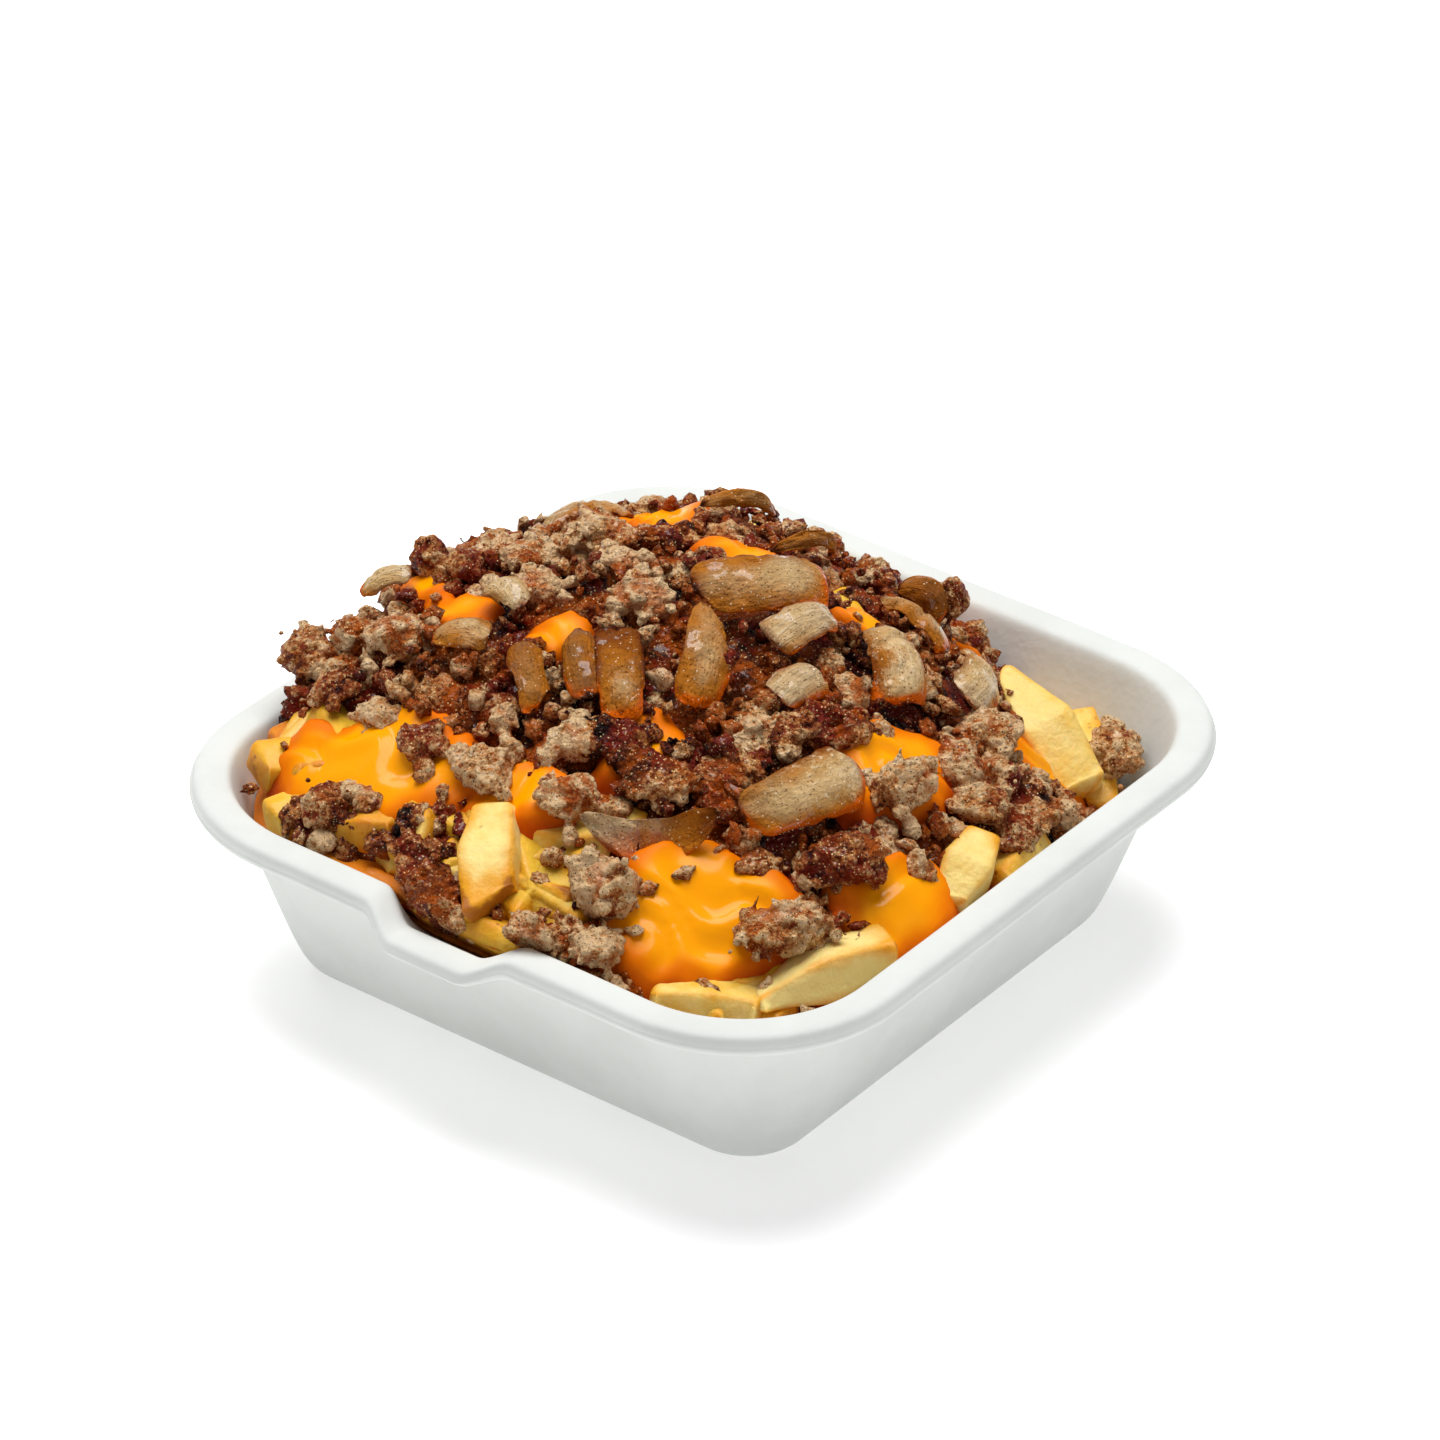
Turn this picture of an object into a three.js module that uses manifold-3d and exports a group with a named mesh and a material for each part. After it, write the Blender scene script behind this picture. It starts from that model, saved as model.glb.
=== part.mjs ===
// Loaded fries in an open take-away tray: a moulded-fibre tray with a lid-locking notch in its rim, heaped with
// fries, a sheet of melted cheese sauce over them, crumbled browned beef and soft fried onion strips on top.
// Millimetres, +Z up, origin at the centre of the tray's base. The notch is in the -Y side.
import * as THREE from "three";
import { mergeVertices } from "three/addons/utils/BufferGeometryUtils.js";
import Module from "manifold-3d";

const wasm = await Module();
wasm.setup();

// ---- Driving dimensions ----
const tray = {
  height: 40.2,
  wall: 1.3,
  innerHalfX: 65, // inner edge of the rim
  innerHalfY: 69,
  innerCorner: 25.4,
  draftX: 13.2, // how much narrower each side is at the base
  draftY: 15.9,
  baseCorner: 10.5,
  cornerSteps: 4,
  sideSteps: 3,
};
const notch = { centre: -0.8, half: 7.2, fade: 8.8, drop: 3.4, jut: 3.7, reach: 12 };
const heap = {
  peakX: -15,
  peakY: 2,
  edge: 35, // level of the food round the rim
  leftRise: 3,
  lowCorner: 12, // how much lower the food lies in the +X+Y corner
  dome: 35,
  reachLeft: 71,
  reachRight: 80,
  reachFront: 76,
  reachBack: 78,
  roundness: 2.2,
  fall: 1.75,
};
const gap = 0.35; // between pieces that touch
const rise = 0.45; // the same gap measured upwards on the slopes
const layers = { fries: 10, fryZone: 5, sauce: 2.4, sauceShow: 0.7, beef: 3.6 }; // depths under the heap's surface
const crumb = { spacing: 9.5, least: 3.7, most: 6.5, bury: 0.4, roughness: 0.17 };
const grid = 10.5; // step of the layers' surfaces
const beefGrid = 14; // step of the surface that the crumbs lie in

// ---- Where things lie on the heap: centre x and y, half sizes, turn in degrees ----
const saucePools = [
  [-34, -50.5, 19, 8.5, 10],
  [-5, -47.5, 8.5, 6, 30],
  [7, -30, 4.5, 7.5, -20],
  [36, -44, 17, 12, 55],
  [55.5, -19, 12, 7, 65],
  [40, 0.5, 13, 6.5, 75],
  [-8, 22, 7, 4.5, 20],
  [14, 26, 5, 4, 60],
  [-45, 7, 6, 4, 35],
  [-42, -18, 6, 4, -10],
  [-34, 32, 7, 5, 40],
  [-19, -19, 6, 3.5, 25],
  [44, 38, 5, 9, 0],
  [-52, 40, 10, 6, 60],
  [8, 57, 12, 6, 0],
  [-53, -8, 5, 9, 0],
];
const fryZones = [
  [-52, -54, 17, 13, 10],
  [0, -60, 8, 11, 0],
  [47, -55, 14, 9, 30],
  [59, -30, 6, 20, 0],
  [60, 6, 5, 18, 0],
  [45, 52, 15, 13, -45],
  [-8, -65, 22, 4, 0],
  [-61, 34, 4.5, 12, 0],
  [-22, 65, 18, 4, 0],
];
// Fries that show: one end, the other end, thickness.
const fryEnds = [
  [[-9, -42, 52], [5.2, -64.5, 41], 9.8],
  [[-62, -54, 39.5], [-36, -44, 46], 10],
  [[-55, -58, 38.5], [-29, -57, 43], 9.4],
  [[-44, -63, 37], [-20, -61.5, 41], 9],
  [[-17, -62.5, 38], [14, -62, 36.5], 9.4],
  [[31, -60, 32], [52, -51, 32.5], 9.4],
  [[46, -56, 32], [59, -20, 34], 9.8],
  [[59, -15, 34], [54, 8, 42], 9.6],
  [[58.5, 5, 33.5], [55, 27, 37], 9],
  [[25, 51, 45], [51, 44.5, 28], 11.5],
  [[37, 61, 31], [54, 47, 24], 9.4],
  [[20, 60, 30], [46, 57, 22], 9],
  [[3, 31, 60], [17, 24, 57], 8],
  [[-42, 31, 59], [-22, 44, 57], 9.4],
  [[-59, 16, 37], [-53, 45, 39], 9.4],
  [[-60, 40, 33], [-44, 56, 36], 9.8],
  [[-38, 62, 35], [-8, 62, 38], 9.4],
  [[-60, -34, 38], [-57, -8, 41], 9.6],
];
// Onion strips: centre x and y, length, width, thickness, turn, lean, roll, bow (height of its arch), lift.
const onions = [
  [-2.7, -22.3, 20, 9.4, 1.9, -52, 0, 0, 1.2, 0],
  [6, -11, 23, 9.5, 2.2, -53, 4, -12, 2.6, 0.4],
  [2.8, 10.8, 26, 10.5, 1.9, 60, 0, 0, 1.4, 0.4],
  [13, 8.5, 16, 8, 2.6, 82, 0, 8, 1.4, 1],
  [26.5, 16.5, 16.5, 11.5, 2.4, -24, 6, 0, 2.2, 1.2],
  [33.5, 31, 15, 12, 1.8, 118, -6, 18, 1.6, 1.8],
  [20.8, -3, 10.5, 8, 1.9, 80, 0, 0, 1, 0.6],
  [19.5, -42.5, 23, 8.5, 1.8, 38, 0, 26, -4, 1.4],
  [34.5, -19.5, 24, 12.5, 2, 74, 0, 10, 3, 1],
  [-33, -27, 11, 8, 1.8, 20, 0, 0, 1.2, 0.4],
  [-16, -30.5, 15, 7.5, 2, -50, 6, 0, 1.2, 0.4],
  [-9.5, -24, 15, 7, 2, -48, 0, 0, 1.2, 0],
  [-3, 32.5, 16, 4.6, 1.9, 78, 0, 50, 4, 1.6],
  [12, 45.5, 13, 9, 2.2, 35, 0, 42, 3, 1.8],
  [-18, 38.5, 15, 4.6, 1.9, 60, 0, 55, 3.6, 1.4],
  [-31.6, -16.2, 10, 7.5, 1.8, -15, 0, 0, 1.6, 0.6],
  [-58.5, -15.5, 10, 7, 1.8, 30, 0, 12, 1.2, 1.6],
  [-47, 26, 17, 9, 2, 60, 0, 0, 1.6, 0.4],
  [-30, 49, 16, 8, 1.9, -10, 0, 0, 1.4, 0.4],
  [18, 36, 15, 8, 1.9, 20, 0, 0, 1.4, 0.4],
];
// Beef lumps that stand by themselves: centre, half sizes, turn.
const lumps = [
  [[46, -40.5, 41.5], [10, 6, 5.6], 50],
  [[13.5, -67.5, 43.2], [4.6, 4.4, 4.6], 0],
  [[19, -54.5, 45.5], [7.2, 6.4, 7], 0],
  [[46.3, -22.5, 46.5], [8.2, 6, 5.6], 55],
  [[44.5, -3, 51], [7, 5.4, 5.8], 60],
  [[-26.7, -47.4, 53.6], [5.4, 4.2, 3.8], 30],
  [[-34.5, -60.5, 44.5], [5.6, 5.4, 5.6], 0],
  [[50, 55, 31.5], [7.4, 5.2, 4.8], -40],
  [[15.5, 52, 51], [3.2, 3, 5.2], 0],
  [[-56.5, -7, 60], [4.4, 4, 5.4], 0],
  [[-62.5, -34.5, 51], [5.6, 5.4, 5], 0],
  [[24, -62, 40.5], [5.8, 4.6, 4.4], 30],
];

// ---- Small tools ----
const clamp01 = (t) => Math.min(1, Math.max(0, t));
const smooth = (a, b, x) => ((t) => t * t * (3 - 2 * t))(clamp01((x - a) / (b - a)));
const mix = (a, b, t) => a + (b - a) * t;
const radians = THREE.MathUtils.degToRad;

function seededRandom(seed) {
  let state = seed >>> 0;
  return () => {
    state = (state + 0x6d2b79f5) >>> 0;
    let t = state;
    t = Math.imul(t ^ (t >>> 15), t | 1);
    t ^= t + Math.imul(t ^ (t >>> 7), t | 61);
    return ((t ^ (t >>> 14)) >>> 0) / 4294967296;
  };
}

function bare(geometry) {
  const copy = geometry.clone();
  for (const name of Object.keys(copy.attributes)) if (name !== "position") copy.deleteAttribute(name);
  return mergeVertices(copy, 1e-4);
}

function solidOf(geometry) {
  const merged = bare(geometry);
  const triVerts = new Uint32Array(merged.index.array);
  return new wasm.Manifold(
    new wasm.Mesh({ numProp: 3, vertProperties: new Float32Array(merged.attributes.position.array), triVerts }),
  );
}

function geometryOf(solid) {
  const mesh = solid.getMesh();
  const points = new Float32Array(mesh.numVert * 3);
  for (let i = 0; i < mesh.numVert; i++)
    points.set(mesh.vertProperties.subarray(i * mesh.numProp, i * mesh.numProp + 3), i * 3);
  const geometry = new THREE.BufferGeometry();
  geometry.setAttribute("position", new THREE.BufferAttribute(points, 3));
  geometry.setIndex(new THREE.BufferAttribute(new Uint32Array(mesh.triVerts), 1));
  geometry.computeVertexNormals();
  return geometry;
}

// The biggest body of a solid: scraps and sealed hollows fall away.
const largest = (solid) => solid.decompose().reduce((a, b) => (b.volume() > a.volume() ? b : a));
const joined = (solids) => wasm.Manifold.union(solids);

// A closed skin through rings of points, from a cylinder whose rows are moved onto the rings.
function skin(rings) {
  const around = rings[0].length;
  const rows = rings.length - 1;
  const geometry = new THREE.CylinderGeometry(1, 1, 1, around, rows);
  const position = geometry.attributes.position;
  for (let i = 0; i < position.count; i++) {
    const x = position.getX(i);
    const z = position.getZ(i);
    const row = Math.round((0.5 - position.getY(i)) * rows);
    const ring = rings[row];
    const point = new THREE.Vector3();
    if (Math.hypot(x, z) < 0.5) ring.forEach((p) => point.addScaledVector(p, 1 / around));
    else point.copy(ring[Math.round((Math.atan2(x, z) / (2 * Math.PI)) * around + around) % around]);
    position.setXYZ(i, point.x, point.y, point.z);
  }
  return geometry;
}

// The same skin facing the other way.
function turned(geometry) {
  const index = geometry.index.array;
  for (let i = 0; i < index.length; i += 3) [index[i + 1], index[i + 2]] = [index[i + 2], index[i + 1]];
  return geometry;
}

// ---- Tray ----
const notchShape = (x) => 1 - smooth(notch.half, notch.half + notch.fade, Math.abs(x - notch.centre));

// One ring of the tray: `out` is measured outwards from the inner wall, at height z.
function trayRing(out, z) {
  const down = clamp01((tray.height - z) / tray.height);
  const halfX = tray.innerHalfX - down * tray.draftX + out;
  const halfY = tray.innerHalfY - down * tray.draftY + out;
  const corner = mix(tray.innerCorner, tray.baseCorner, down) + out;
  const dip = smooth(tray.height - notch.reach, tray.height - 1, z);
  const points = [];
  const quarter = (cx, cy, start) => {
    for (let i = 0; i <= tray.cornerSteps; i++) {
      const a = start + ((Math.PI / 2) * i) / tray.cornerSteps;
      points.push(new THREE.Vector3(cx + corner * Math.cos(a), cy + corner * Math.sin(a), z));
    }
  };
  const side = (x0, y0, x1, y1, stops) =>
    stops.forEach((t) => points.push(new THREE.Vector3(mix(x0, x1, t), mix(y0, y1, t), z)));
  const even = Array.from({ length: tray.sideSteps - 1 }, (_, i) => (i + 1) / tray.sideSteps);
  const cx = halfX - corner;
  const cy = halfY - corner;
  quarter(cx, cy, 0);
  side(cx, halfY, -cx, halfY, even);
  quarter(-cx, cy, Math.PI / 2);
  side(-halfX, cy, -halfX, -cy, even);
  quarter(-cx, -cy, Math.PI);
  const across = notch.half + notch.fade;
  for (const t of [-1, -0.86, -0.7, -0.55, -0.42, 0, 0.42, 0.55, 0.7, 0.86, 1])
    points.push(new THREE.Vector3(notch.centre + t * across, -halfY, z));
  quarter(cx, -cy, Math.PI * 1.5);
  side(halfX, -cy, halfX, cy, even);
  for (const p of points) {
    const w = p.y < 0 ? notchShape(p.x) * dip : 0;
    p.y -= notch.jut * w;
    p.z -= notch.drop * w;
  }
  return points;
}

const rimTop = tray.height;
const innerProfile = [
  [-9, tray.wall],
  [-4.6, 1.9],
  [-1.8, 3.9],
  [-0.3, 7.5],
  [0, 12],
  [0, rimTop - notch.reach],
  [0, rimTop - 6.5],
  [0, rimTop - 1.8],
  [0.6, rimTop - 0.5],
  [1.8, rimTop],
];
const outerProfile = [
  [4.2, rimTop],
  [5.3, rimTop - 0.7],
  [5.7, rimTop - 2.1],
  [8, rimTop - 2.6],
  [8, rimTop - 3.5],
  [5, rimTop - 3.3],
  [4.1, rimTop - 1.7],
  [2.3, rimTop - 1.5],
  [tray.wall, rimTop - 3],
  [tray.wall, rimTop - notch.reach],
  [tray.wall, 7],
  [0.4, 1.9],
  [-2.8, 0],
];
const traySolid = solidOf(skin([...innerProfile, ...outerProfile].map(([out, z]) => trayRing(out, z))));

// The room that the tray leaves to the food: its hollow, and everything above its rim.
const roomProfile = [
  [-9, tray.wall + gap],
  [-2.1, 4.2],
  [-gap, 12.2],
  [-gap, rimTop - notch.reach],
  [-gap, rimTop - 6.5],
  [-gap, rimTop - 1.8],
  [0.4, rimTop - 0.1],
  [1.7, rimTop + gap],
  [20, rimTop + gap],
  [20, 130],
];
const room = solidOf(turned(skin(roomProfile.map(([out, z]) => trayRing(out, z)))));

// ---- The heap's surface ----
function heapTop(x, y) {
  const edge =
    heap.edge -
    heap.lowCorner * smooth(15, 85, (x + y) / Math.SQRT2) * smooth(-5, 60, y) +
    heap.leftRise * smooth(-20, -65, x);
  const dx = Math.abs(x - heap.peakX) / (x < heap.peakX ? heap.reachLeft : heap.reachRight);
  const dy = Math.abs(y - heap.peakY) / (y < heap.peakY ? heap.reachFront : heap.reachBack);
  const m = (dx ** heap.roundness + dy ** heap.roundness) ** (1 / heap.roundness);
  return edge + heap.dome * clamp01(1 - m ** heap.fall);
}

// How far inside the rim's inner edge a point lies.
function fromRim(x, y) {
  const qx = Math.abs(x) - (tray.innerHalfX - tray.innerCorner);
  const qy = Math.abs(y) - (tray.innerHalfY - tray.innerCorner);
  return tray.innerCorner - (Math.hypot(Math.max(qx, 0), Math.max(qy, 0)) + Math.min(0, Math.max(qx, qy)));
}

// 1 inside an oval patch, fading to 0 over its edge.
function patch([cx, cy, rx, ry, turn], x, y, inner = 0.8, outer = 1.15) {
  const a = radians(turn);
  const u = ((x - cx) * Math.cos(a) + (y - cy) * Math.sin(a)) / rx;
  const v = (-(x - cx) * Math.sin(a) + (y - cy) * Math.cos(a)) / ry;
  return 1 - smooth(inner, outer, Math.hypot(u, v));
}
const most = (list, x, y) => list.reduce((m, p) => Math.max(m, patch(p, x, y)), 0);
const pooled = (x, y) => most(saucePools, x, y);
const bareFries = (x, y) => most(fryZones, x, y);

const friesTop = (x, y) => heapTop(x, y) - layers.fries + layers.fryZone * bareFries(x, y) * (1 - pooled(x, y));
function sauceTop(x, y) {
  const show = pooled(x, y);
  const base = friesTop(x, y);
  const inside = smooth(2.5, 7, fromRim(x, y)) * (1 - bareFries(x, y) * (1 - show));
  return mix(base - 4, mix(base + layers.sauce, heapTop(x, y) - layers.sauceShow, show), inside);
}
function beefTop(x, y) {
  const open = Math.max(pooled(x, y), bareFries(x, y), 1 - smooth(1, 5, fromRim(x, y)));
  return heapTop(x, y) - layers.beef - 10 * open;
}

// A solid from far below up to a surface, clipped later by the room and by what lies under it.
function filledTo(surface, lift = 0, step = grid) {
  const width = 2 * tray.innerHalfX + 8;
  const depth = 2 * tray.innerHalfY + 8;
  const low = -4;
  const geometry = new THREE.BoxGeometry(width, depth, 2, Math.round(width / step), Math.round(depth / step), 1);
  const position = geometry.attributes.position;
  for (let i = 0; i < position.count; i++) {
    const x = position.getX(i);
    const y = position.getY(i);
    position.setZ(i, position.getZ(i) > 0 ? Math.max(surface(x, y) + lift, low + 1) : low);
  }
  return solidOf(geometry);
}

// ---- Fries: a square stick with eased edges, a little uneven, and both ends cut ----
function fry([from, to, thick], seed, grow = 0) {
  const random = seededRandom(seed);
  const a = new THREE.Vector3(...from);
  const b = new THREE.Vector3(...to);
  const along = b.clone().sub(a);
  const length = along.length();
  along.normalize();
  const across = new THREE.Vector3(0, 0, 1).cross(along).normalize();
  const up = along.clone().cross(across);
  const roll = radians(mix(-22, 22, random()));
  const bend = mix(-0.04, 0.04, random()) * length;
  const stations = [
    [0, 0.76],
    [0.07, 0.98],
    [0.93, 0.96],
    [1, 0.74],
  ];
  const half = thick / 2;
  const rings = stations.map(([t, size]) => {
    const s = half * size + grow;
    const flat = s * 0.94;
    const cut = s * 0.72;
    const centre = a
      .clone()
      .addScaledVector(along, t * length + (t < 0.5 ? -grow : t > 0.5 ? grow : 0))
      .addScaledVector(across, bend * (1 - (2 * t - 1) ** 2));
    return [
      [flat, cut],
      [cut, flat],
      [-cut, flat],
      [-flat, cut],
      [-flat, -cut],
      [-cut, -flat],
      [cut, -flat],
      [flat, -cut],
    ].map(([u, v]) =>
      centre
        .clone()
        .addScaledVector(across, u * Math.cos(roll) - v * Math.sin(roll))
        .addScaledVector(up, u * Math.sin(roll) + v * Math.cos(roll)),
    );
  });
  const solid = solidOf(skin(rings));
  return solid.volume() > 0 ? solid : solidOf(turned(skin(rings)));
}

// ---- Onion strips: a bowed, slightly cupped slice ----
// The frame of the heap's surface at a point, turned about its normal.
function surfaceFrame(x, y, turn, lean, roll, lift) {
  const e = 2;
  const normal = new THREE.Vector3(
    (heapTop(x - e, y) - heapTop(x + e, y)) / (2 * e),
    (heapTop(x, y - e) - heapTop(x, y + e)) / (2 * e),
    1,
  ).normalize();
  const ahead = new THREE.Vector3(Math.cos(radians(turn)), Math.sin(radians(turn)), 0);
  ahead.addScaledVector(normal, -ahead.dot(normal)).normalize();
  const across = normal.clone().cross(ahead);
  const frame = new THREE.Matrix4().makeBasis(ahead, across, normal);
  frame.multiply(new THREE.Matrix4().makeRotationFromEuler(new THREE.Euler(radians(roll), radians(lean), 0)));
  frame.setPosition(
    new THREE.Vector3(x, y, heapTop(x, y)).addScaledVector(normal, lift),
  );
  return frame;
}

function onion([x, y, length, width, thick, turn, lean, roll, bow, lift], grow = 0) {
  const geometry = new THREE.BoxGeometry(length + 2 * grow, width + 2 * grow, thick + 2 * grow, 4, 2, 1);
  const position = geometry.attributes.position;
  for (let i = 0; i < position.count; i++) {
    const u = position.getX(i) / (length / 2);
    const v = position.getY(i) / (width / 2);
    const narrow = 1 - 0.38 * Math.abs(u) ** 2.6;
    position.setY(i, position.getY(i) * narrow);
    position.setZ(i, position.getZ(i) * (1 - 0.25 * u * u) + bow * (0.5 - u * u) + 0.16 * width * 0.35 * (1 - v * v));
  }
  geometry.applyMatrix4(surfaceFrame(x, y, turn, lean, roll, lift));
  return solidOf(geometry);
}

// ---- Beef: rough lumps and crumbs ----
function rock(centre, half, turn, detail, roughness, seed, grow = 0) {
  const random = seededRandom(seed);
  const geometry = bare(new THREE.IcosahedronGeometry(1, detail));
  const position = geometry.attributes.position;
  for (let i = 0; i < position.count; i++) {
    const k = 1 + roughness * (2 * random() - 1);
    position.setXYZ(
      i,
      position.getX(i) * (half[0] * k + grow),
      position.getY(i) * (half[1] * k + grow),
      position.getZ(i) * (half[2] * k + grow),
    );
  }
  geometry.applyMatrix4(new THREE.Matrix4().makeRotationZ(radians(turn)).setPosition(...centre));
  return solidOf(geometry);
}

// ---- Putting it together ----
const lumpSeed = 40;
const onionCuts = joined(onions.map((o) => onion(o, gap)));
const lumpCuts = joined(lumps.map(([c, h, t], i) => rock(c, h, t, 1, 0.13, lumpSeed + i, gap)));
const toppingCuts = onionCuts.add(lumpCuts);

const friesCore = filledTo(friesTop);
const friesSolid = largest(
  joined([friesCore, ...fryEnds.map((f, i) => fry(f, i + 1))]).intersect(room).subtract(toppingCuts),
);
const fryCuts = joined(fryEnds.map((f, i) => fry(f, i + 1, gap)));

const sauceSolid = largest(
  filledTo(sauceTop).intersect(room).subtract(filledTo(friesTop, rise)).subtract(fryCuts).subtract(toppingCuts),
);
const underBeef = filledTo((x, y) => Math.max(friesTop(x, y), sauceTop(x, y)), rise);

// Crumbs on a staggered grid with seeded scatter, wherever beef covers the heap.
const crumbs = [];
{
  const random = seededRandom(7);
  const rowStep = crumb.spacing * 0.87;
  for (let row = -10; row <= 10; row++)
    for (let column = -9; column <= 9; column++) {
      const x = (column + (row % 2 ? 0.5 : 0)) * crumb.spacing + mix(-1.9, 1.9, random());
      const y = row * rowStep + mix(-1.9, 1.9, random());
      const r = mix(crumb.least, crumb.most, random() ** 1.4);
      const shape = [mix(0.85, 1.25, random()), mix(0.8, 1.1, random()), mix(0.75, 1.05, random())];
      const turn = 360 * random();
      const wobble = mix(-1.1, 1.1, random());
      const seed = 1000 + crumbs.length * 3 + Math.floor(900 * random());
      if (fromRim(x, y) < 0.5 * r + 1 || Math.max(pooled(x, y), bareFries(x, y)) > 0.42) continue;
      const near = (cx, cy, reach) => Math.hypot(x - cx, y - cy) < reach;
      if (onions.some(([ox, oy, length, width, , ot]) => {
        const dx = x - ox, dy = y - oy, a = radians(ot);
        const u = dx * Math.cos(a) + dy * Math.sin(a), v = -dx * Math.sin(a) + dy * Math.cos(a);
        return Math.abs(u) < length / 2 + 0.3 * r && Math.abs(v) < width / 2 + 0.3 * r;
      })) continue;
      if (lumps.some(([c, h]) => near(c[0], c[1], Math.max(h[0], h[1]) * 0.85))) continue;
      const z = heapTop(x, y) - crumb.bury * r - 0.6 + wobble;
      crumbs.push(rock([x, y, z], shape.map((s) => s * r), turn, 0, crumb.roughness, seed));
    }
}
const beefSolid = largest(
  joined([filledTo(beefTop, 0, beefGrid), ...crumbs])
    .intersect(room)
    .subtract(underBeef)
    .subtract(fryCuts)
    .subtract(toppingCuts),
);

// ---- Scene graph ----
const looks = {
  tray: { color: 0xeceeec, roughness: 0.85 },
  fries: { color: 0xe9c463, roughness: 0.7 },
  sauce: { color: 0xffa314, roughness: 0.22 },
  beef: { color: 0x7c5236, roughness: 0.75 },
  onion: { color: 0xb07a42, roughness: 0.3 },
};
const group = new THREE.Group();
function place(name, solid, look) {
  const material = new THREE.MeshStandardMaterial({ ...looks[look], metalness: 0, flatShading: true });
  const mesh = new THREE.Mesh(geometryOf(solid), material);
  mesh.name = name;
  group.add(mesh);
}
const number = (i) => String(i + 1).padStart(2, "0");
place("tray", traySolid, "tray");
place("fries", friesSolid, "fries");
place("cheese_sauce", sauceSolid, "sauce");
place("ground_beef", beefSolid, "beef");
let placedOnions = null;
onions.forEach((o, i) => {
  let solid = onion(o).intersect(room);
  if (placedOnions) solid = largest(solid.subtract(placedOnions));
  const cut = onion(o, gap);
  placedOnions = placedOnions ? placedOnions.add(cut) : cut;
  place("onion_" + number(i), solid, "onion");
});
let placedLumps = onionCuts;
lumps.forEach(([c, h, t], i) => {
  const solid = largest(rock(c, h, t, 1, 0.13, lumpSeed + i).intersect(room).subtract(placedLumps));
  placedLumps = placedLumps.add(rock(c, h, t, 1, 0.13, lumpSeed + i, gap));
  place("beef_lump_" + number(i), solid, "beef");
});

export default group;
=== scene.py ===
# Loaded fries in a moulded-fibre tray: fries, cheese sauce, crumbled beef and fried onion, in millimetres.
import math

import bpy
import numpy as np
from mathutils import Matrix


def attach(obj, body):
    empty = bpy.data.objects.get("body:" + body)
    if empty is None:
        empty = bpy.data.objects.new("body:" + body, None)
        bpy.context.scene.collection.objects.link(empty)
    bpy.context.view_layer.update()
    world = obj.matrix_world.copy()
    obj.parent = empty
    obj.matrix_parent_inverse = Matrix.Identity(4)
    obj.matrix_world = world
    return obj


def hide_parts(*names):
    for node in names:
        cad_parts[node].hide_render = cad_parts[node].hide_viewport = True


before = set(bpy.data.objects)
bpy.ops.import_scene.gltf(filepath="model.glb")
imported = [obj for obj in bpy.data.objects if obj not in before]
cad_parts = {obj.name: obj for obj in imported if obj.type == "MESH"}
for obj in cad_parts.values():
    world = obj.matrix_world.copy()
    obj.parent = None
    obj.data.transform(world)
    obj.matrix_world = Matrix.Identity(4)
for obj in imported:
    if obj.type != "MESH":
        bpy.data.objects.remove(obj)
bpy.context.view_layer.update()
mm = 0.001

# what the whole dish shares, in millimetres
tray = {
    "height": 40.2, "wall": 1.3, "innerHalfX": 65.0, "innerHalfY": 69.0, "innerCorner": 25.4,
    "draftX": 13.2, "draftY": 15.9, "baseCorner": 10.5, "cornerSteps": 22, "sideSteps": 10,
    "waviness": 0.12,
}
notch = {"centre": -0.8, "half": 7.2, "fade": 8.8, "drop": 3.4, "jut": 3.7, "reach": 12.0}
heap = {
    "peak": (-15.0, 2.0), "edge": 35.0, "leftRise": 3.0, "lowCorner": 12.0, "dome": 35.0,
    "reach": (71.0, 80.0, 76.0, 78.0), "roundness": 2.2, "fall": 1.75,
    "dent": 2.6, "rise": (-27.0, 39.0, 9.0, 4.4),
    # from where to where, in millimetres, each of them comes in
    "lowAcross": (15, 85), "lowBack": (-5, 60), "leftAcross": (20, 65), "dentAcross": (-14, -34),
    "dentBack": (-6, 10),
}
fryDepth = 10.0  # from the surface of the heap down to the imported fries

# centre x, y, half sizes, turn in degrees
saucePools = [
    (-34, -50.5, 19, 8.5, 10), (-5, -47.5, 8.5, 6, 30), (7, -30, 4.5, 7.5, -20),
    (33.5, -46, 16, 10.5, 50), (56, -19, 10.5, 7, 65), (40, 0.5, 13, 6.5, 75), (-8, 22, 8.5, 5, 20),
    (14, 26, 5, 4, 60), (-45, 7, 6, 4, 35), (-42, -18, 6, 4, -10), (-34, 32, 8, 6, 40),
    (-19, -19, 6, 3.5, 25), (44, 38, 5, 9, 0), (-52, 40, 10, 6, 60), (8, 57, 12, 6, 0),
    (-53, -8, 5, 9, 0),
]
fryZones = [
    (-52, -54, 17, 13, 10), (0, -60, 8, 11, 0), (47, -55, 14, 9, 30), (59, -30, 6, 20, 0),
    (60, 6, 5, 18, 0), (45, 52, 15, 13, -45), (-8, -65, 22, 4, 0), (-61, 34, 4.5, 12, 0),
    (-22, 65, 18, 4, 0),
]


# smooth step from 0 at a to 1 at b: 3*t^2 - 2*t^3
def smooth(a, b, x):
    t = np.clip((x - a) / (b - a), 0, 1)
    return t * t * (3 - 2 * t)


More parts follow.
